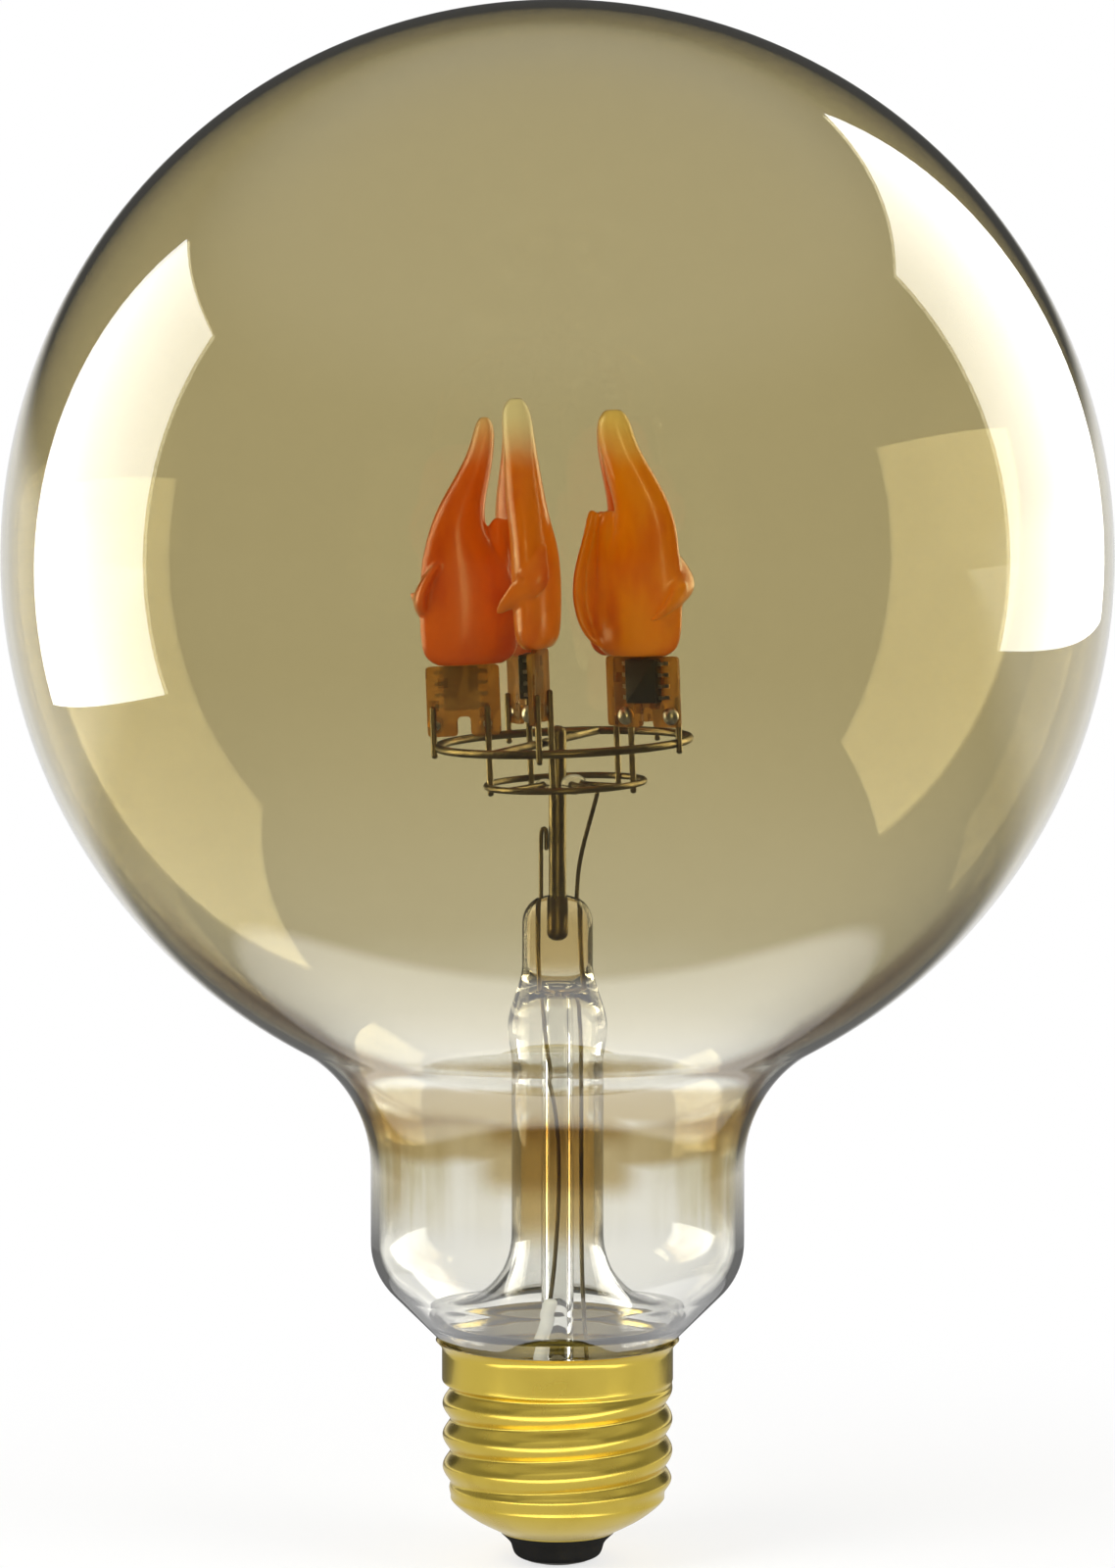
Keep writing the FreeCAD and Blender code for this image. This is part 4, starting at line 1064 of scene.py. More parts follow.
@dataclass
class WireFrame:
    """Rings, bar, spokes, beads and pins, which stand a little tilted off the axis."""

    tilt: float = 2.2
    shift: float = 0.7
    upper_level: float = 93.75
    upper_radius: float = 14.2
    upper_wire: float = 0.475
    lower_level: float = 89.1
    lower_radius: float = 8.9
    lower_wire: float = 0.375
    bar_azimuth: float = 65.0
    post: float = 1.0
    post_bottom: float = 71.5
    post_top: float = 95.5
    gap: float = 0.05
    modules: int = 5
    first: float = 41.0
    pin: float = 0.3
    plating: float = 1.18
    pin_top: float = 98.4
    pin_tail: float = 0.6
    pin_side: float = 0.6
    fused: float = 0.3
    lump: Point = (0.85, 0.85, 0.80)
    spoke_share: float = 0.97
    bead_scale: Range = (1.04, 0.62)
    lifts: tuple = (0.0, 0.0, 0.0, 2.0, 0.6)
    spokes: tuple = ((-2.5, -1.3, 225.0), (0.75, -2.3, 291.0), (1.75, -1.75, 315.0))
    beads: tuple = ((-2.35, -0.8, 1.0, 1.15), (0.95, -1.6, 1.45, 1.9))

    def placement(self) -> Array:
        """Matrix of the tilt about the upper ring's level and the shift."""
        angle = math.radians(-self.tilt)
        turn = np.eye(4)
        turn[0, 0] = turn[2, 2] = math.cos(angle)
        turn[0, 2] = math.sin(angle)
        turn[2, 0] = -math.sin(angle)
        down = np.eye(4)
        down[2, 3] = -self.upper_level
        up = np.eye(4)
        up[:3, 3] = (self.shift, 0.0, self.upper_level)
        return up @ turn @ down

    def azimuth(self, index: int) -> float:
        """Direction of a module in degrees."""
        return self.first + 360.0 / self.modules * index

    def upright(self, level: float) -> Array:
        """Shear along X that takes the tilt out of what stands above a level."""
        shear = np.eye(4)
        shear[0, 2] = math.tan(math.radians(self.tilt))
        shear[0, 3] = -shear[0, 2] * level
        return shear

    def swing(self, index: int, lifted: bool = True) -> Array:
        """Matrix that takes a module's own frame to the lamp's, with or without its lift."""
        cosine, sine = heading(self.azimuth(index))
        turn = np.eye(4)
        turn[:2, :2] = [[cosine, -sine], [sine, cosine]]
        turn[2, 3] = self.lifts[index] if lifted else 0.0
        return self.placement() @ turn

    def reach(self, outer: bool) -> float:
        """Distance of a pin's axis from the frame's axis."""
        if outer:
            return self.upper_radius + self.upper_wire + self.pin - self.fused
        return self.lower_radius - self.lower_wire - self.pin + self.fused

    def welds(self, builder: MeshBuilder, outer: bool) -> None:
        """Small fused lumps where the pins meet a ring."""
        level = self.upper_level if outer else self.lower_level
        wire = self.upper_wire if outer else self.lower_wire
        middle = (self.reach(outer) + (self.upper_radius if outer else self.lower_radius)) / 2
        for index in range(self.modules):
            along = heading(self.azimuth(index))
            spot = along * middle + np.array([-along[1], along[0]]) * self.pin_side
            blob(builder, (*spot, level), tuple(wire * part for part in self.lump), 14)

    def build_rings(self) -> list[Piece]:
        """Both rings, the bar and the spokes."""
        tilted = self.placement()
        upper = ring(MeshBuilder(), self.upper_radius, self.upper_wire, self.upper_level)
        self.welds(upper, True)
        pieces = [dress(upper.build("ring_upper", 60.0, tilted), NICKEL, "upper_ring")]
        along = heading(self.bar_azimuth)
        beside = self.post + self.upper_wire + self.gap + self.shift * along[1]
        half = math.sqrt(self.upper_radius**2 - beside**2) - 0.1
        square = np.array([-along[1], along[0]]) * beside
        run = np.linspace(-half, half, 40)
        path = np.column_stack([run[:, None] * along + square, np.full(len(run), self.upper_level)])
        bar = tube(MeshBuilder(), path, self.upper_wire, 18)
        pieces.append(dress(bar.build("ring_bar", 60.0, tilted), NICKEL, "upper_ring_bar"))
        lower = ring(MeshBuilder(), self.lower_radius, self.lower_wire, self.lower_level)
        self.welds(lower, False)
        pieces.append(dress(lower.build("ring_lower", 60.0, tilted), NICKEL, "lower_ring"))
        spokes = MeshBuilder()
        for start_x, start_y, angle in self.spokes:
            end = heading(angle) * self.lower_radius
            share = np.linspace(0.0, self.spoke_share, 12)[:, None]
            path = np.array([start_x, start_y]) * (1 - share) + end * share
            tube(spokes, np.column_stack([path, np.full(len(path), self.lower_level)]), self.lower_wire, 14)
        pieces.append(dress(spokes.build("ring_spokes", 60.0, tilted), NICKEL, "lower_ring_spokes"))
        return pieces

    def build_beads(self) -> list[Piece]:
        """Glass beads that hold the spokes to the post."""
        pieces = []
        across, up = self.bead_scale
        for side, (x, y, radius, height) in zip(("left", "right"), self.beads):
            bead = blob(MeshBuilder(), (x, y, self.lower_level), (radius * across, radius, height * up), 32)
            piece = bead.build(f"bead_{side}", 60.0, self.placement())
            pieces.append(dress(piece, BEAD, f"glass_bead_{side}"))
        return pieces

    def build_pins(self) -> list[Piece]:
        """The post and the pins of every module."""
        post = MeshBuilder()
        path = np.linspace((0.0, 0.0, self.post_bottom + 0.6), (0.0, 0.0, self.post_top - 0.6), 30)
        tube(post, path, self.post, 24)
        pieces = [dress(post.build("post_wire", 60.0), NICKEL, "centre_post")]
        under = {True: self.upper_level - self.upper_wire, False: self.lower_level - self.lower_wire}
        for index in range(self.modules):
            for outer, name in ((True, "outer_pin"), (False, "inner_pin")):
                low = (self.reach(outer), self.pin_side, under[outer] - self.pin_tail + 0.2)
                high = (self.reach(outer), self.pin_side, self.pin_top + self.lifts[index] - 0.2)
                pin = tube(MeshBuilder(), np.linspace(low, high, 24), self.pin * self.plating, 14)
                piece = pin.build(f"{name}_wire_{index + 1}", 60.0, self.swing(index, lifted=False))
                pieces.append(dress(piece, NICKEL, f"{name}_{index + 1}"))
        return pieces


@dataclass
class Leads:
    """The two lead wires and the sleeve on the left one."""

    radius: float = 0.25
    left: tuple = (
        (-3.2, -2.6, 10.65), (-2.6, -2.6, 21.3), (-1.55, -2.6, 26.0), (-0.5, -2.6, 30.8), (0.6, -2.6, 48.5),
        (-1.0, -2.4, 58.0), (-1.86, -1.95, 64.5), (-1.86, -0.3, 68.5), (-1.86, 0.0, 71.0), (-1.86, 0.0, 80.0),
        (-1.86, 0.0, 83.0), (-1.80, 0.0, 84.0), (-1.30, 0.0, 84.0), (-1.26, 0.0, 83.2), (-1.26, 0.0, 81.7),
    )
    right: tuple = (
        (4.4, 0.0, 10.65), (3.3, 0.0, 24.0), (2.7, 0.0, 32.0), (2.7, 0.0, 48.0), (2.7, 0.0, 63.0),
        (2.15, 0.0, 70.1), (2.15, 0.0, 76.0), (2.3, 0.0, 79.0), (2.8, -1.6, 82.0), (4.2, -6.6, 87.6),
        (4.45, -7.8, 88.8),
    )
    sleeve: float = 0.8
    sleeve_low: Point = (-1.97, -2.6, 24.15)
    sleeve_high: Point = (-0.79, -2.6, 29.45)

    def build(self) -> list[Piece]:
        """Both wires and the sleeve."""
        pieces = []
        for side, points in (("left", self.left), ("right", self.right)):
            wire = tube(MeshBuilder(), smooth_path(points, 160), self.radius, 12)
            pieces.append(dress(wire.build(f"lead_{side}", 60.0), NICKEL, f"lead_wire_{side}"))
        path = np.linspace(self.sleeve_low, self.sleeve_high, 16)
        sleeve = tube(MeshBuilder(), path, self.sleeve, 28)
        pieces.append(dress(sleeve.build("sleeve_tube", 50.0), SLEEVE, "lead_sleeve"))
        return pieces


class Side(Enum):
    """Which flame of the ring a module carries, named by where it stands."""

    BACK_RIGHT = 0
    BACK_LEFT = 1
    LEFT = 2
    FRONT = 3
    RIGHT = 4


@dataclass(frozen=True)
class FlameForm:
    """Stations of the moulded tongues in the module's frame, in millimetres.

    Each station is (height above the flame's foot, middle outwards, middle sideways, half
    width, half depth).
    """

    main: tuple = (
        (0.0, 10.2, -0.2, 3.6, 1.5),
        (0.6, 10.2, -0.2, 4.8, 2.0),
        (1.6, 10.2, -0.25, 5.4, 2.3),
        (4.0, 10.2, -0.3, 5.7, 2.5),
        (9.0, 10.25, -0.4, 5.65, 2.55),
        (12.0, 10.9, -0.6, 4.7, 2.4),
        (15.0, 11.7, -0.9, 3.35, 2.2),
        (18.0, 11.1, -1.4, 2.85, 2.1),
        (21.0, 9.8, -1.9, 2.3, 1.9),
        (23.5, 8.9, -2.3, 1.8, 1.75),
        (25.5, 8.5, -2.5, 1.55, 1.7),
        (26.9, 8.4, -2.6, 1.3, 1.4),
        (27.7, 8.4, -2.6, 0.6, 0.7),
    )
    short: tuple = (
        (8.0, 7.4, -0.6, 2.1, 1.9),
        (11.5, 7.1, -0.9, 1.7, 1.5),
        (14.0, 7.0, -1.1, 1.3, 1.2),
        (15.6, 7.0, -1.2, 0.95, 0.9),
        (16.4, 7.0, -1.2, 0.4, 0.35),
    )
    leaf: tuple = (
        (4.8, 13.4, -0.6, 1.6, 1.7),
        (6.4, 14.6, -0.7, 1.5, 1.3),
        (7.6, 15.8, -0.8, 1.0, 0.8),
        (8.3, 16.6, -0.8, 0.35, 0.35),
    )
    petal: tuple = (
        (4.2, 14.0, -3.7, 0.5, 0.4),
        (5.2, 15.1, -2.3, 0.7, 1.5),
        (6.6, 15.8, -0.3, 0.8, 2.4),
        (8.2, 15.9, 0.5, 0.8, 2.0),
        (9.8, 15.2, 0.9, 0.7, 1.3),
        (11.6, 13.9, 1.2, 0.5, 0.5),
    )
    sheet: tuple = (
        (0.8, 7.4, -0.5, 1.6, 0.8),
        (4.0, 6.2, -0.8, 2.6, 0.6),
        (7.5, 5.8, -1.0, 2.6, 0.5),
        (10.5, 6.0, -1.0, 2.4, 0.5),
        (13.0, 6.4, -1.0, 2.0, 0.5),
        (15.4, 6.5, -1.0, 1.8, 0.45),
        (16.2, 6.5, -1.0, 1.3, 0.3),
    )
    lip: tuple = (
        (0.8, 6.8, -1.1, 0.5, 0.5),
        (1.8, 5.2, -1.7, 0.55, 0.65),
        (3.9, 4.0, -2.0, 0.55, 0.75),
        (7.1, 3.4, -2.2, 0.55, 0.8),
        (10.2, 3.7, -2.1, 0.5, 0.75),
        (13.1, 4.5, -1.8, 0.5, 0.65),
        (15.9, 4.9, -1.4, 0.5, 0.55),
        (16.5, 4.9, -1.4, 0.3, 0.3),
    )


@dataclass(frozen=True)
class FlameLook:
    """What differs from one flame to the next."""

    tip_out: float = 0.0
    tip_wide: float = 1.0
    rise: float = 0.0
    tip_side: float = 0.0
    sideways: float = 1.0
    finish: Optional[Silicone] = None


def silicone(name: str, body: Colour, deep: Colour, tip: Colour) -> Silicone:
    """A flame's finish by its colours."""
    return Silicone(name, Slot.SILICONE, body, deep, tip)


RED = silicone("flame silicone red", (0.84, 0.16, 0.006), (0.62, 0.075, 0.003), (1.0, 0.72, 0.46))
WARM = silicone("flame silicone warm", (0.86, 0.23, 0.008), (0.66, 0.10, 0.003), (1.0, 1.0, 0.90))
ORANGE = silicone("flame silicone orange", (0.95, 0.34, 0.006), (0.78, 0.17, 0.003), (1.0, 0.80, 0.32))
LOOKS = {
    Side.BACK_RIGHT: FlameLook(tip_out=1.3, sideways=-1.0, finish=RED),
    Side.BACK_LEFT: FlameLook(sideways=-0.7, finish=RED),
    Side.LEFT: FlameLook(tip_wide=0.8, finish=RED),
    Side.FRONT: FlameLook(rise=0.3, tip_side=-0.6, finish=WARM),
    Side.RIGHT: FlameLook(tip_wide=1.4, finish=ORANGE),
}


@dataclass
class FlameModule:
    """One circuit board with its flame, chip and solder."""

    index: int
    frame: WireFrame
    form: FlameForm = field(default_factory=FlameForm)
    foot: float = 103.0
    board_inner: float = 7.0
    board_outer: float = 15.3
    board_bottom: float = 95.0
    board_half: float = 0.3
    notch_width: float = 1.5
    notch_height: float = 2.2
    tongue: tuple[float, float, float] = (8.8, 12.8, 13.6)
    chip_centre: float = 11.3
    chip_level: float = 100.3
    chip_size: tuple[float, float, float] = (3.9, 4.9, 1.45)
    solder: float = 0.95
    solder_level: float = 96.3
    solder_scale: Range = (0.90, 1.08)
    solder_sunk: float = 0.12
    board_corner: float = 0.5
    board_bevel: float = 0.05
    chip_corner: float = 0.18
    chip_bevel: float = 0.14
    gap: float = 0.02
    voxel: float = 0.23
    lean_from: float = 12.0
    lean_length: float = 15.0

    @property
    def number(self) -> int:
        """The module's number in node names."""
        return self.index + 1

    def stations(self, table: tuple, look: FlameLook, count: int) -> Array:
        """Stations of a tongue, made dense by a smooth curve, with the look's lean added."""
        rows = np.asarray(table, float)
        dense = smooth_path(rows[:, :3], count)
        sizes = smooth_path(np.column_stack([rows[:, 3:], rows[:, :1]]), count)
        lean = np.clip((dense[:, 0] - self.lean_from) / self.lean_length, 0.0, 1.0)
        dense[:, 1] += look.tip_out * lean**1.5
        dense[:, 2] = look.sideways * dense[:, 2] + look.tip_side * lean
        sizes[:, 0] *= 1.0 + (look.tip_wide - 1.0) * lean
        return np.column_stack([dense, sizes[:, :2]])

    def tongue_surface(self, builder: MeshBuilder, table: tuple, look: FlameLook) -> None:
        """One closed tongue: ovals at its stations, a little pinched at their ends.

        Position = middle + (half width cos a, half depth sin a |sin a|^pinch), with a cap at
        both ends.
        """
        pinch = 0.12
        rows = self.stations(table, look, 60)
        angle = full_turn(56)[None]
        level, out, side, wide, deep = (column[:, None] for column in rows.T)
        across = out + wide * np.cos(angle)
        depth = side + deep * np.sin(angle) * np.abs(np.sin(angle)) ** pinch
        up = np.broadcast_to(self.foot + look.rise + level, across.shape)
        grid = np.stack([across, depth, up], -1)
        builder.grid(grid, wrap_columns=True)
        builder.fan(grid[0], grid[0].mean(0))
        builder.fan(grid[-1], grid[-1].mean(0), flip=True)

    def build_flame(self) -> Piece:
        """All tongues fused to one moulded skin, with soft folds."""
        look = LOOKS[Side(self.index)]
        builder = MeshBuilder()
        tables = [self.form.main, self.form.short, self.form.leaf, self.form.petal]
        if look.sideways > 0.0:
            tables += [self.form.sheet, self.form.lip]
        for table in tables:
            self.tongue_surface(builder, table, look)
        placement = self.frame.upright(self.foot) @ self.frame.swing(self.index)
        piece = builder.build(f"flame_mould_{self.number}", 180.0, placement)
        remesh = piece.modifiers.new("fuse", "REMESH")
        remesh.mode = "VOXEL"
        remesh.voxel_size = self.voxel * MM
        remesh.use_smooth_shade = True
        soften = piece.modifiers.new("soften", "SMOOTH")
        soften.factor = 0.5
        soften.iterations = 7
        applied(piece)
        finish_shading(piece, 180.0)
        return dress(piece, look.finish, f"flame_{self.number}")

    @staticmethod
    def stand(outline: Array, level: Array) -> Array:
        """Places an outline (outwards, up) with its level measured to the module's right."""
        return np.stack([outline[:, 0], -level, outline[:, 1]], -1)

    def build_board(self) -> Piece:
        """The laminate with softened edges."""
        middle = (self.board_inner + self.board_outer) / 2
        notch = self.notch_width / 2
        top = self.foot - 0.05
        inner, outer, length = self.tongue
        outline = (
            (self.board_inner, self.board_bottom), (middle - notch, self.board_bottom),
            (middle - notch, self.board_bottom + self.notch_height),
            (middle + notch, self.board_bottom + self.notch_height),
            (middle + notch, self.board_bottom), (self.board_outer, self.board_bottom),
            (self.board_outer, top), (outer, top), (outer, top + length), (inner, top + length),
            (inner, top), (self.board_inner, top),
        )
        builder = MeshBuilder()
        corners = rounded(outline, self.board_corner)
        slab(builder, corners, -self.board_half, self.board_half, self.board_bevel, self.stand)
        piece = builder.build(f"board_plate_{self.number}", 40.0, self.frame.swing(self.index))
        return dress(piece, BOARD, f"board_{self.number}")

    def build_chip(self) -> Piece:
        """The moulded chip with rounded corners."""
        wide, tall, deep = self.chip_size
        half = wide / 2, tall / 2
        left, right = self.chip_centre - half[0], self.chip_centre + half[0]
        low, high = self.chip_level - half[1], self.chip_level + half[1]
        outline = rounded(((left, low), (right, low), (right, high), (left, high)), self.chip_corner)
        builder = MeshBuilder()
        near, far = self.board_half + self.gap, self.board_half + deep
        slab(builder, outline, near, far, self.chip_bevel, self.stand)
        piece = builder.build(f"chip_body_{self.number}", 50.0, self.frame.swing(self.index))
        return dress(piece, MOULD, f"chip_{self.number}")

    def build_solder(self) -> Piece:
        """Two lumps of solder behind the pins."""
        builder = MeshBuilder()
        deep, tall = self.solder_scale
        for outer in (False, True):
            reach = min(self.frame.reach(outer), self.board_outer - self.solder)
            centre = (reach, -self.board_half - self.solder_sunk, self.solder_level)
            blob(builder, centre, (self.solder, self.solder * deep, self.solder * tall), 28)
        piece = builder.build(f"solder_lumps_{self.number}", 60.0, self.frame.swing(self.index))
        return dress(piece, TINNED, f"solder_{self.number}")

    def build(self) -> list[Piece]:
        """All pieces of the module."""
        return [self.build_board(), self.build_chip(), self.build_solder(), self.build_flame()]


@dataclass
class ScrewCap:
    """The rolled brass shell and the insulator."""

    rim: float = 13.85
    rim_level: float = 25.6
    collar: float = 13.15
    collar_level: float = 24.6
    collar_bottom: float = 20.9
    root: float = 12.35
    crest: float = 13.1
    pitch: float = 3.629
    crest_level: float = 9.25
    thread_low: float = 7.7
    skirt: float = 11.7
    foot: float = 6.5
    foot_level: float = 3.5
    wall: float = 0.35
    groove: float = 0.15
    rim_power: float = 1.6
    crest_power: float = 0.62
    collar_turn: float = 0.9
    thread_fade: float = 2.2
    segments: int = 240
    waist: float = 5.15
    contact: float = 3.7

    def wave(self, angle: Array, level: Array) -> Array:
        """Share of the thread's depth: a rounded crest and a narrow root, along a helix."""
        phase = (level - self.crest_level) / self.pitch - angle / (2 * math.pi)
        return (0.5 + 0.5 * np.cos(2 * math.pi * phase)) ** self.crest_power

    def outside(self, inset: float) -> Array:
        """Outer face of the shell, or one pushed in by the wall, from the rim down."""
        angle = full_turn(self.segments)[None]
        level = np.concatenate([
            np.linspace(self.rim_level, self.collar_level, 6),
            np.linspace(self.collar_level, self.collar_bottom + 0.3, 10)[1:],
            np.linspace(self.collar_bottom + 0.3, self.thread_low - 0.2, 104)[1:],
        ])[:, None]
        flare = np.clip((level - self.collar_level) / (self.rim_level - self.collar_level), 0, 1)
        plain = self.collar + (self.rim - self.collar) * flare**self.rim_power
        into = eased(np.clip((self.collar_bottom + 0.25 - level) / self.collar_turn, 0, 1))
        fade = eased(np.clip((level - self.thread_low) / self.thread_fade, 0, 1))
        depth = self.crest - self.root + self.groove
        thread = self.root - self.groove + depth * self.wave(angle, level) * fade
        reach = plain * (1 - into) + thread * into - inset
        upper = turned(reach, angle, level)
        bottom = float(level[-1, 0])
        start = self.root - self.groove
        curve = smooth_path((
            (start, bottom - 0.1), (start - 0.25, 7.0), (self.skirt - 0.9, 6.0), (9.2, 4.9),
            (self.foot + 0.1, self.foot_level + 0.15), (self.foot, self.foot_level),
        ), 26)
        foot = curve - np.array([inset, -inset * 0.8])
        return np.concatenate([upper, turned(foot[:, :1], angle, foot[:, 1:])])

    def build_shell(self) -> Piece:
        """Thin rolled shell: outer face, foot edge, inner face and rim edge."""
        outer = self.outside(0.0)
        inner = self.outside(self.wall)[::-1]
        builder = MeshBuilder()
        builder.grid(np.concatenate([outer, inner]), wrap_rows=True, wrap_columns=True)
        return dress(builder.build("shell_rolled", 60.0), BRASS, "screw_shell")

    def build_insulator(self) -> Piece:
        """The waisted insulator, closed round the contact's rivet."""
        bore, top, face = 0.9, 6.8, 0.55
        curve = smooth_path((
            (self.contact + 0.6, face), (self.waist - 0.25, 0.85), (self.waist, 1.5),
            (self.waist + 0.15, 2.3), (self.waist + 0.9, 3.0), (self.foot - 0.06, 3.36),
        ), 26)
        profile = np.vstack([[(bore, top), (bore, face)], curve,
                             [(self.foot - 0.06, 3.95), (9.1, 6.1), (9.1, top), (bore, top)]])
        builder = MeshBuilder()
        lathe(builder, profile, 96)
        return dress(builder.build("insulator_moulded", 50.0), INSULATOR, "cap_insulator")

    def build(self) -> list[Piece]:
        """Shell and insulator."""
        return [self.build_shell(), self.build_insulator()]


class Mirror(Enum):
    """What mirrors a panel of light."""

    METAL = auto()
    GLASS = auto()
    POOL = auto()


@dataclass(frozen=True)
class Panel:
    """A softbox: its corners in millimetres, its brightness, where 1 is white, and what mirrors it."""

    name: str
    corners: tuple[Point, ...]
    strength: float
    mirror: Mirror = Mirror.METAL


def level_panel(name: str, x: Range, y: Range, height: float, strength: float,
                mirror: Mirror = Mirror.METAL) -> Panel:
    """A level rectangle of light."""
    corners = ((x[0], y[0], height), (x[1], y[0], height), (x[1], y[1], height), (x[0], y[1], height))
    return Panel(name, corners, strength, mirror)


def wall_panel(name: str, start: Range, end: Range, low: float, strength: float) -> Panel:
    """An upright rectangle of light over a line on the ground."""
    return Panel(name, ((*start, low), (*end, low), (*end, WIDE), (*start, WIDE)), strength)


PANELS = (
    Panel("panel_left", ((-330, -35, 2), (-330, 270, 2), (-330, 190, 388), (-330, -22, 330)), 7.2,
          Mirror.GLASS),
    Panel("panel_right", ((500, 75, 5), (500, 840, 5), (500, 850, 900), (500, 103, 528)), 5.8,
          Mirror.GLASS),
    level_panel("panel_table", (-150, 150), (-60, 240), 1, 3.0, Mirror.POOL),
    wall_panel("panel_front", (-WIDE, -WIDE), (WIDE, -WIDE), 60, 0.5),
    wall_panel("panel_west", (-WIDE, -WIDE), (-WIDE, WIDE), 3, 0.25),
    wall_panel("panel_east", (WIDE, -WIDE), (WIDE, WIDE), 3, 0.25),
    level_panel("panel_floor", (-WIDE, WIDE), (-WIDE, 60), 3, 0.5),
    level_panel("panel_sill", (-60, 60), (-44, -22), 4, 1.6),
)


def aim(item: Piece, place: Point, target: Point) -> None:
    """Puts a camera or a lamp in its place and turns it to a target."""
    item.location = place
    item.rotation_euler = (Vector(target) - Vector(place)).to_track_quat("-Z", "Y").to_euler()


def light_only(light: Piece, pieces: Sequence[Piece]) -> None:
    """Lets a light reach only the given pieces."""
    lit = bpy.data.collections.new(light.name + " mirrors")
    for piece in pieces:
        lit.objects.link(piece)
    light.light_linking.receiver_collection = lit


def ray_kinds(graph: Graph) -> tuple[Socket, Socket]:
    """Tells rays apart.

    Args:
        graph: The graph that asks.

    Returns:
        Whether a ray comes straight from the view, through glass or not, and whether it was
        mirrored.
    """
    path = graph.add("LightPath")
    spread = graph.math("MINIMUM", path.outputs["Diffuse Depth"], 1.0)
    bounced = graph.math("MINIMUM", path.outputs["Glossy Depth"], 1.0)
    straight = graph.math("SUBTRACT", 1.0, graph.math("MAXIMUM", spread, bounced))
    passed = graph.math("MAXIMUM", path.outputs["Is Camera Ray"], path.outputs["Is Transmission Ray"])
    mirrored = graph.math("SUBTRACT", bounced, spread, clamp=True)
    return graph.times(passed, straight), mirrored


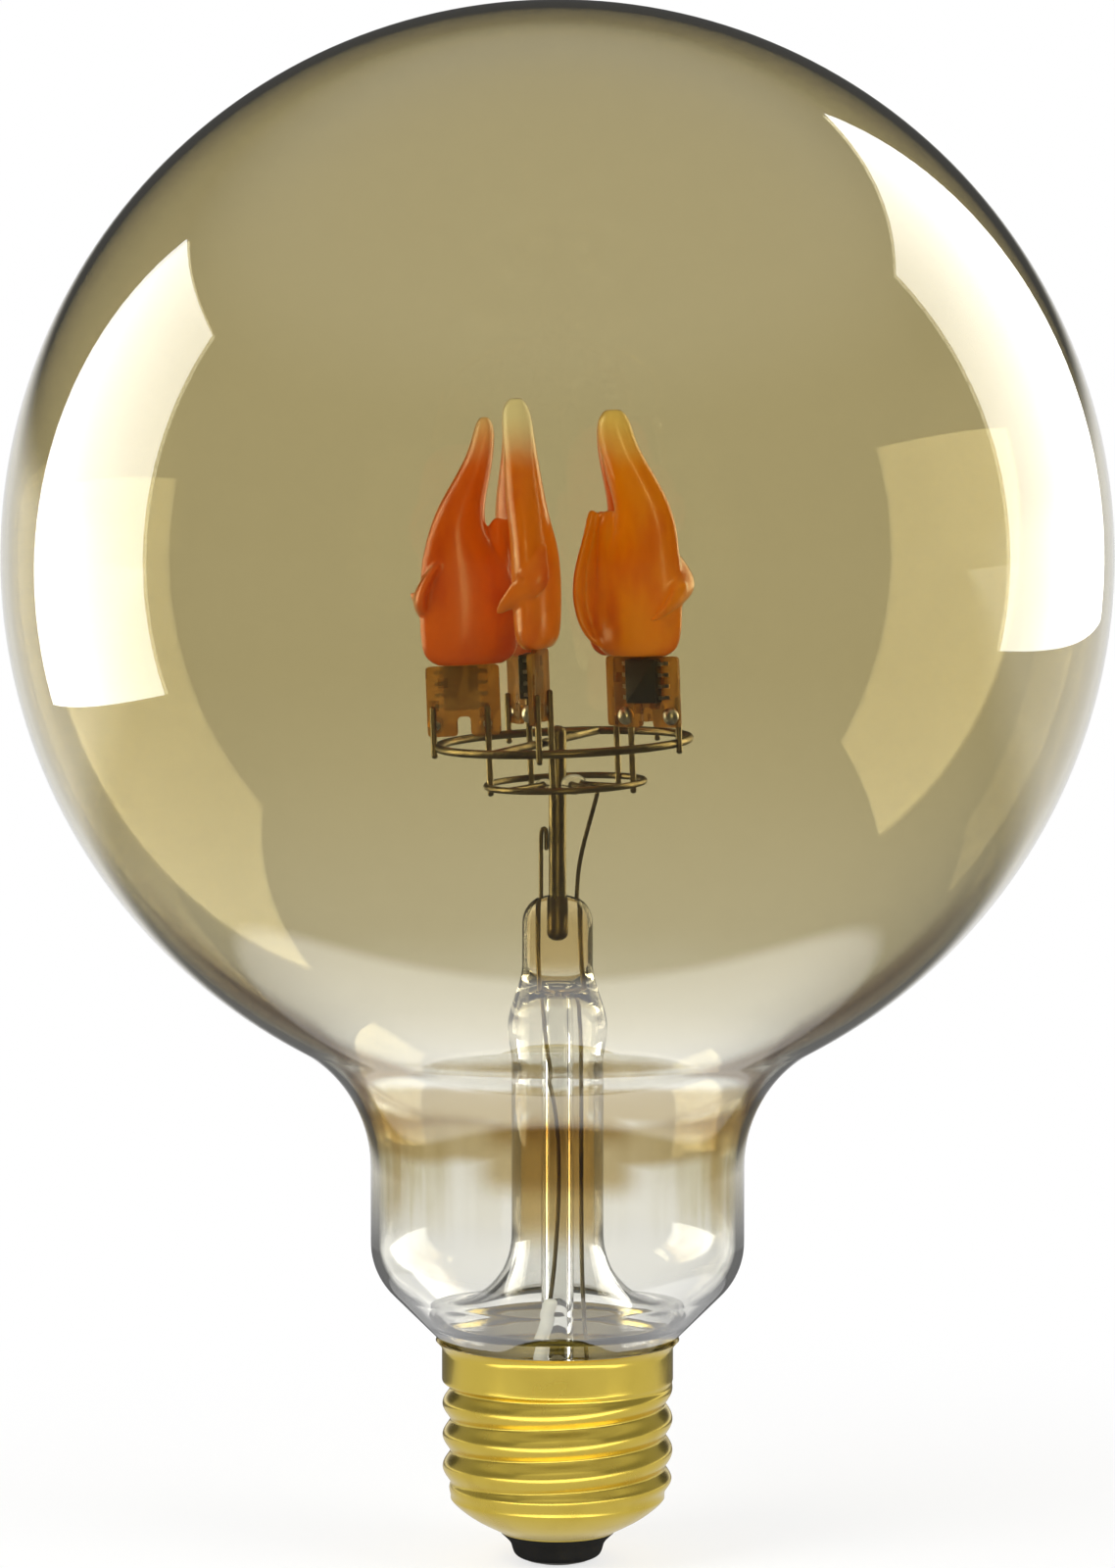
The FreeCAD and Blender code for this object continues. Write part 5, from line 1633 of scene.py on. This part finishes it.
@dataclass
class Studio:
    """Camera, backdrop, floor, soft panels and lamps, in metres.

    The mirror levels are what reflections show of the surroundings. The turns are parts of
    the unit direction that a ray flies off in: backwards, up, and up to the ceiling.
    """

    camera_place: Point = (0.0, -0.7465, 0.1609)
    camera_target: Point = (0.0, 0.0, 0.08903)
    lamp_target: Point = (0.0, 0.0, 0.09)
    lens: float = 152.57
    floor_half: float = 4.0
    shadow_from: Range = (0.16, 0.02)
    shadow_share: float = 0.3
    ambient: float = 0.7
    mirror_front: float = 0.06
    mirror_back: float = 0.92
    mirror_above: float = 0.08
    mirror_ceiling: float = 0.5
    mirror_table: float = 0.16
    turn_back: Range = (0.05, 0.45)
    turn_up: Range = (0.0, 0.10)
    turn_ceiling: Range = (0.45, 0.8)
    floor_behind: Range = (0.0, 0.15)
    floor_far: Range = (0.17, 0.33)
    floor_near: Range = (0.5, 0.2)
    pool_behind: float = 0.015
    pool_scale: Point = (10.6, 17.0, 0.0)
    pool_edge: Range = (1.07, 0.93)
    pool_back: Range = (-0.035, 0.060)
    pool_least: float = 0.15

    def camera(self) -> None:
        """A long lens a little above the object."""
        data = bpy.data.cameras.new("view")
        data.lens = self.lens
        data.sensor_width = 36.0
        data.clip_start = 0.01
        camera = put("view", data)
        aim(camera, self.camera_place, self.camera_target)
        bpy.context.scene.camera = camera

    def world(self) -> None:
        """White behind the object, dimmer in front of it for reflections."""
        world = bpy.data.worlds.new("studio")
        bpy.context.scene.world = world
        world.use_nodes = True
        graph = emptied(world.node_tree)
        way = graph.add("SeparateXYZ", {0: graph.add("TexCoord").outputs["Generated"]}).outputs
        seen, mirrored = ray_kinds(graph)
        level = graph.remap(way[1], *self.turn_back, self.mirror_front, self.mirror_back)
        level = graph.times(level, graph.remap(way[2], *self.turn_up, 1.0, self.mirror_above))
        ceiling = graph.remap(way[2], *self.turn_ceiling, 0.0, self.mirror_ceiling)
        level = graph.math("MAXIMUM", level, ceiling)
        level = graph.add("Mix", {0: mirrored, 2: self.ambient, 3: level}).outputs[0]
        level = graph.math("MAXIMUM", level, seen)
        background = graph.add("Background", {"Color": WHITE, "Strength": level})
        graph.add("OutputWorld", {"Surface": background.outputs[0]})

    def floor(self) -> None:
        """A pale floor that fades into the white, keeps the shadow, and hides nothing from below."""
        mesh = bpy.data.meshes.new("floor")
        half = self.floor_half
        corners = [(-half, -half, 0), (half, -half, 0), (half, half, 0), (-half, half, 0)]
        mesh.from_pydata(corners, [], [(0, 1, 2, 3)])
        floor = put("floor", mesh)
        material, graph = empty_material("pale floor")
        tone = graph.remap(graph.noise(3.0, 2.0), 0.2, 0.8)
        dull = graph.add("BsdfDiffuse", {"Color": graph.mix(tone, (0.86, 0.86, 0.85), (0.89, 0.89, 0.88))})
        reach = graph.add("VectorMath", {0: graph.place()}, operation="LENGTH").outputs["Value"]
        shadow = graph.remap(reach, *self.shadow_from, 0.0, self.shadow_share)
        behind = graph.remap(graph.split()[1], *self.floor_behind)
        far = graph.times(behind, graph.remap(reach, *self.floor_far))
        level = graph.math("MULTIPLY_ADD", far, self.mirror_back - self.mirror_front, self.mirror_front)
        level = graph.math("MAXIMUM", level, graph.remap(reach, *self.floor_near, 0.0, self.mirror_table))
        seen, mirrored = ray_kinds(graph)
        direct = graph.mixed(seen, dull, graph.mixed(shadow, graph.glow(1.0), dull))
        both = graph.mixed(mirrored, direct, graph.glow(level))
        below = graph.add("NewGeometry").outputs["Backfacing"]
        shown = graph.mixed(below, both, graph.add("BsdfTransparent"))
        graph.add("OutputMaterial", {"Surface": shown.outputs[0]})
        mesh.materials.append(material)
        floor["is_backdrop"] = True

    def pool(self, graph: Graph) -> Socket:
        """An oval on the table, brightest in front, that fades at its edge."""
        centre = (0.0, self.pool_behind, 0.0)
        middle = graph.add("VectorMath", {0: graph.place(), 1: centre}, operation="SUBTRACT")
        scaled = graph.add("VectorMath", {0: middle.outputs[0], 1: self.pool_scale}, operation="MULTIPLY")
        away = graph.add("VectorMath", {0: scaled.outputs[0]}, operation="LENGTH").outputs["Value"]
        fade = graph.remap(graph.split()[1], *self.pool_back, 1.0, self.pool_least)
        return graph.times(graph.remap(away, *self.pool_edge), fade)

    def panel(self, form: Panel, pieces: Sequence[Piece]) -> None:
        """A softbox that only the given pieces mirror, and that nothing sees directly.

        Glass shows it only as a reflection, and only the glass's outer face shows a pool.
        """
        mesh = bpy.data.meshes.new(form.name)
        corners = [tuple(value * MM for value in corner) for corner in form.corners]
        mesh.from_pydata(corners, [], [tuple(range(len(corners)))])
        panel = put(form.name, mesh)
        panel.visible_camera = False
        panel.visible_diffuse = False
        panel.visible_shadow = False
        material, graph = empty_material(form.name)
        level = form.strength
        if form.mirror is not Mirror.METAL:
            path = graph.add("LightPath")
            level = graph.times(graph.math("MINIMUM", path.outputs["Glossy Depth"], 1.0), level)
        if form.mirror is Mirror.POOL:
            outer = graph.math("SUBTRACT", 1.0, path.outputs["Is Transmission Ray"])
            level = graph.times(level, graph.times(self.pool(graph), outer))
        clear = graph.add("BsdfTransparent")
        both = graph.add("AddShader", {0: graph.glow(level).outputs[0], 1: clear.outputs[0]})
        graph.add("OutputMaterial", {"Surface": both.outputs[0]})
        mesh.materials.append(material)
        light_only(panel, pieces)
        panel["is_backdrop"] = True

    def lamp(self, name: str, place: Point, size: Range, power: float) -> Piece:
        """A soft area lamp, wide and tall as given, turned to the object's middle."""
        data = bpy.data.lights.new(name, "AREA")
        data.shape = "RECTANGLE"
        data.size, data.size_y = size
        data.energy = power
        lamp = put(name, data)
        aim(lamp, place, self.lamp_target)
        lamp.visible_glossy = False
        lamp.visible_transmission = False
        return lamp

    def build(self, glass: Sequence[Piece], metal: Sequence[Piece], inside: Sequence[Piece]) -> None:
        """The whole set.

        Args:
            glass: Pieces that mirror the tall softboxes and the bright table.
            metal: Pieces that mirror the soft surroundings of the cap.
            inside: Pieces inside the globe that a narrow lamp draws highlights on.
        """
        bpy.context.scene.view_settings.view_transform = "Standard"
        self.camera()
        self.world()
        self.floor()
        for form in PANELS:
            self.panel(form, metal if form.mirror is Mirror.METAL else glass)
        self.lamp("key", (-0.55, -0.45, 0.55), (0.4, 0.4), 5.0)
        self.lamp("fill", (0.6, -0.35, 0.4), (0.4, 0.4), 3.0)
        streak = self.lamp("streak", (0.02, -0.9, 0.22), (0.03, 0.4), 3.2)
        streak.visible_glossy = True
        light_only(streak, inside)


def dress_carried(nodes: dict[str, Piece]) -> None:
    """Gives every CAD node that stays in view its procedural finish."""
    finishes = {
        "chip_legs": TINNED,
        "led_dies": DIE,
        "cap_cement": CEMENT,
        "centre_contact": CONTACT,
        "driver_board": DRIVER,
        "bridge_rectifier": MOULD,
        "smoothing_capacitor": MOULD,
    }
    known = (AMBER, CLEAR, BRASS, NICKEL, TINNED, CONTACT, INSULATOR, MOULD, CEMENT, SLEEVE, DIE, BOARD,
             DRIVER)
    slots = {finish.slot.value: finish for finish in known}
    slots[Slot.SILICONE.value] = LOOKS[Side.LEFT].finish
    for name, node in nodes.items():
        stem = name.rstrip("0123456789").rstrip("_")
        finish = finishes.get(stem)
        if finish is None:
            own = node.data.materials[0].name.split(".")[0] if node.data.materials else ""
            finish = slots.get(own, MOULD)
        node.data.materials.clear()
        node.data.materials.append(finish.material())


def plain(bounds: Sequence[Any]) -> list[list[float]]:
    """Both corners of a box as lists of numbers."""
    return [[float(value) for value in corner] for corner in bounds]


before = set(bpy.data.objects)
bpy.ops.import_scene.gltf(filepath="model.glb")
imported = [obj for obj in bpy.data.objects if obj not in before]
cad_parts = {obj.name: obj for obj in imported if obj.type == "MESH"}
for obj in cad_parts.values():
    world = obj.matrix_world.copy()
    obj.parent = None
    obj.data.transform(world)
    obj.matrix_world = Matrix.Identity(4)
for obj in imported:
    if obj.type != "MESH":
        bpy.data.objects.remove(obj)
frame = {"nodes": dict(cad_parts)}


def main() -> None:
    """Builds the lamp and its studio."""
    logging.basicConfig(level=logging.INFO, format="%(name)s: %(message)s")
    cad_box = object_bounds()
    dress_carried(frame["nodes"])
    globe = Globe().build()
    Stem().build()
    wires = WireFrame()
    inside = wires.build_rings() + wires.build_beads() + wires.build_pins() + Leads().build()
    for side in Side:
        inside += FlameModule(side.value, wires).build()
    shell, insulator = ScrewCap().build()
    Studio().build([globe], [shell], inside)
    {"cad": plain(cad_box), "visual": plain(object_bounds())}


if __name__ == "__main__":
    main()
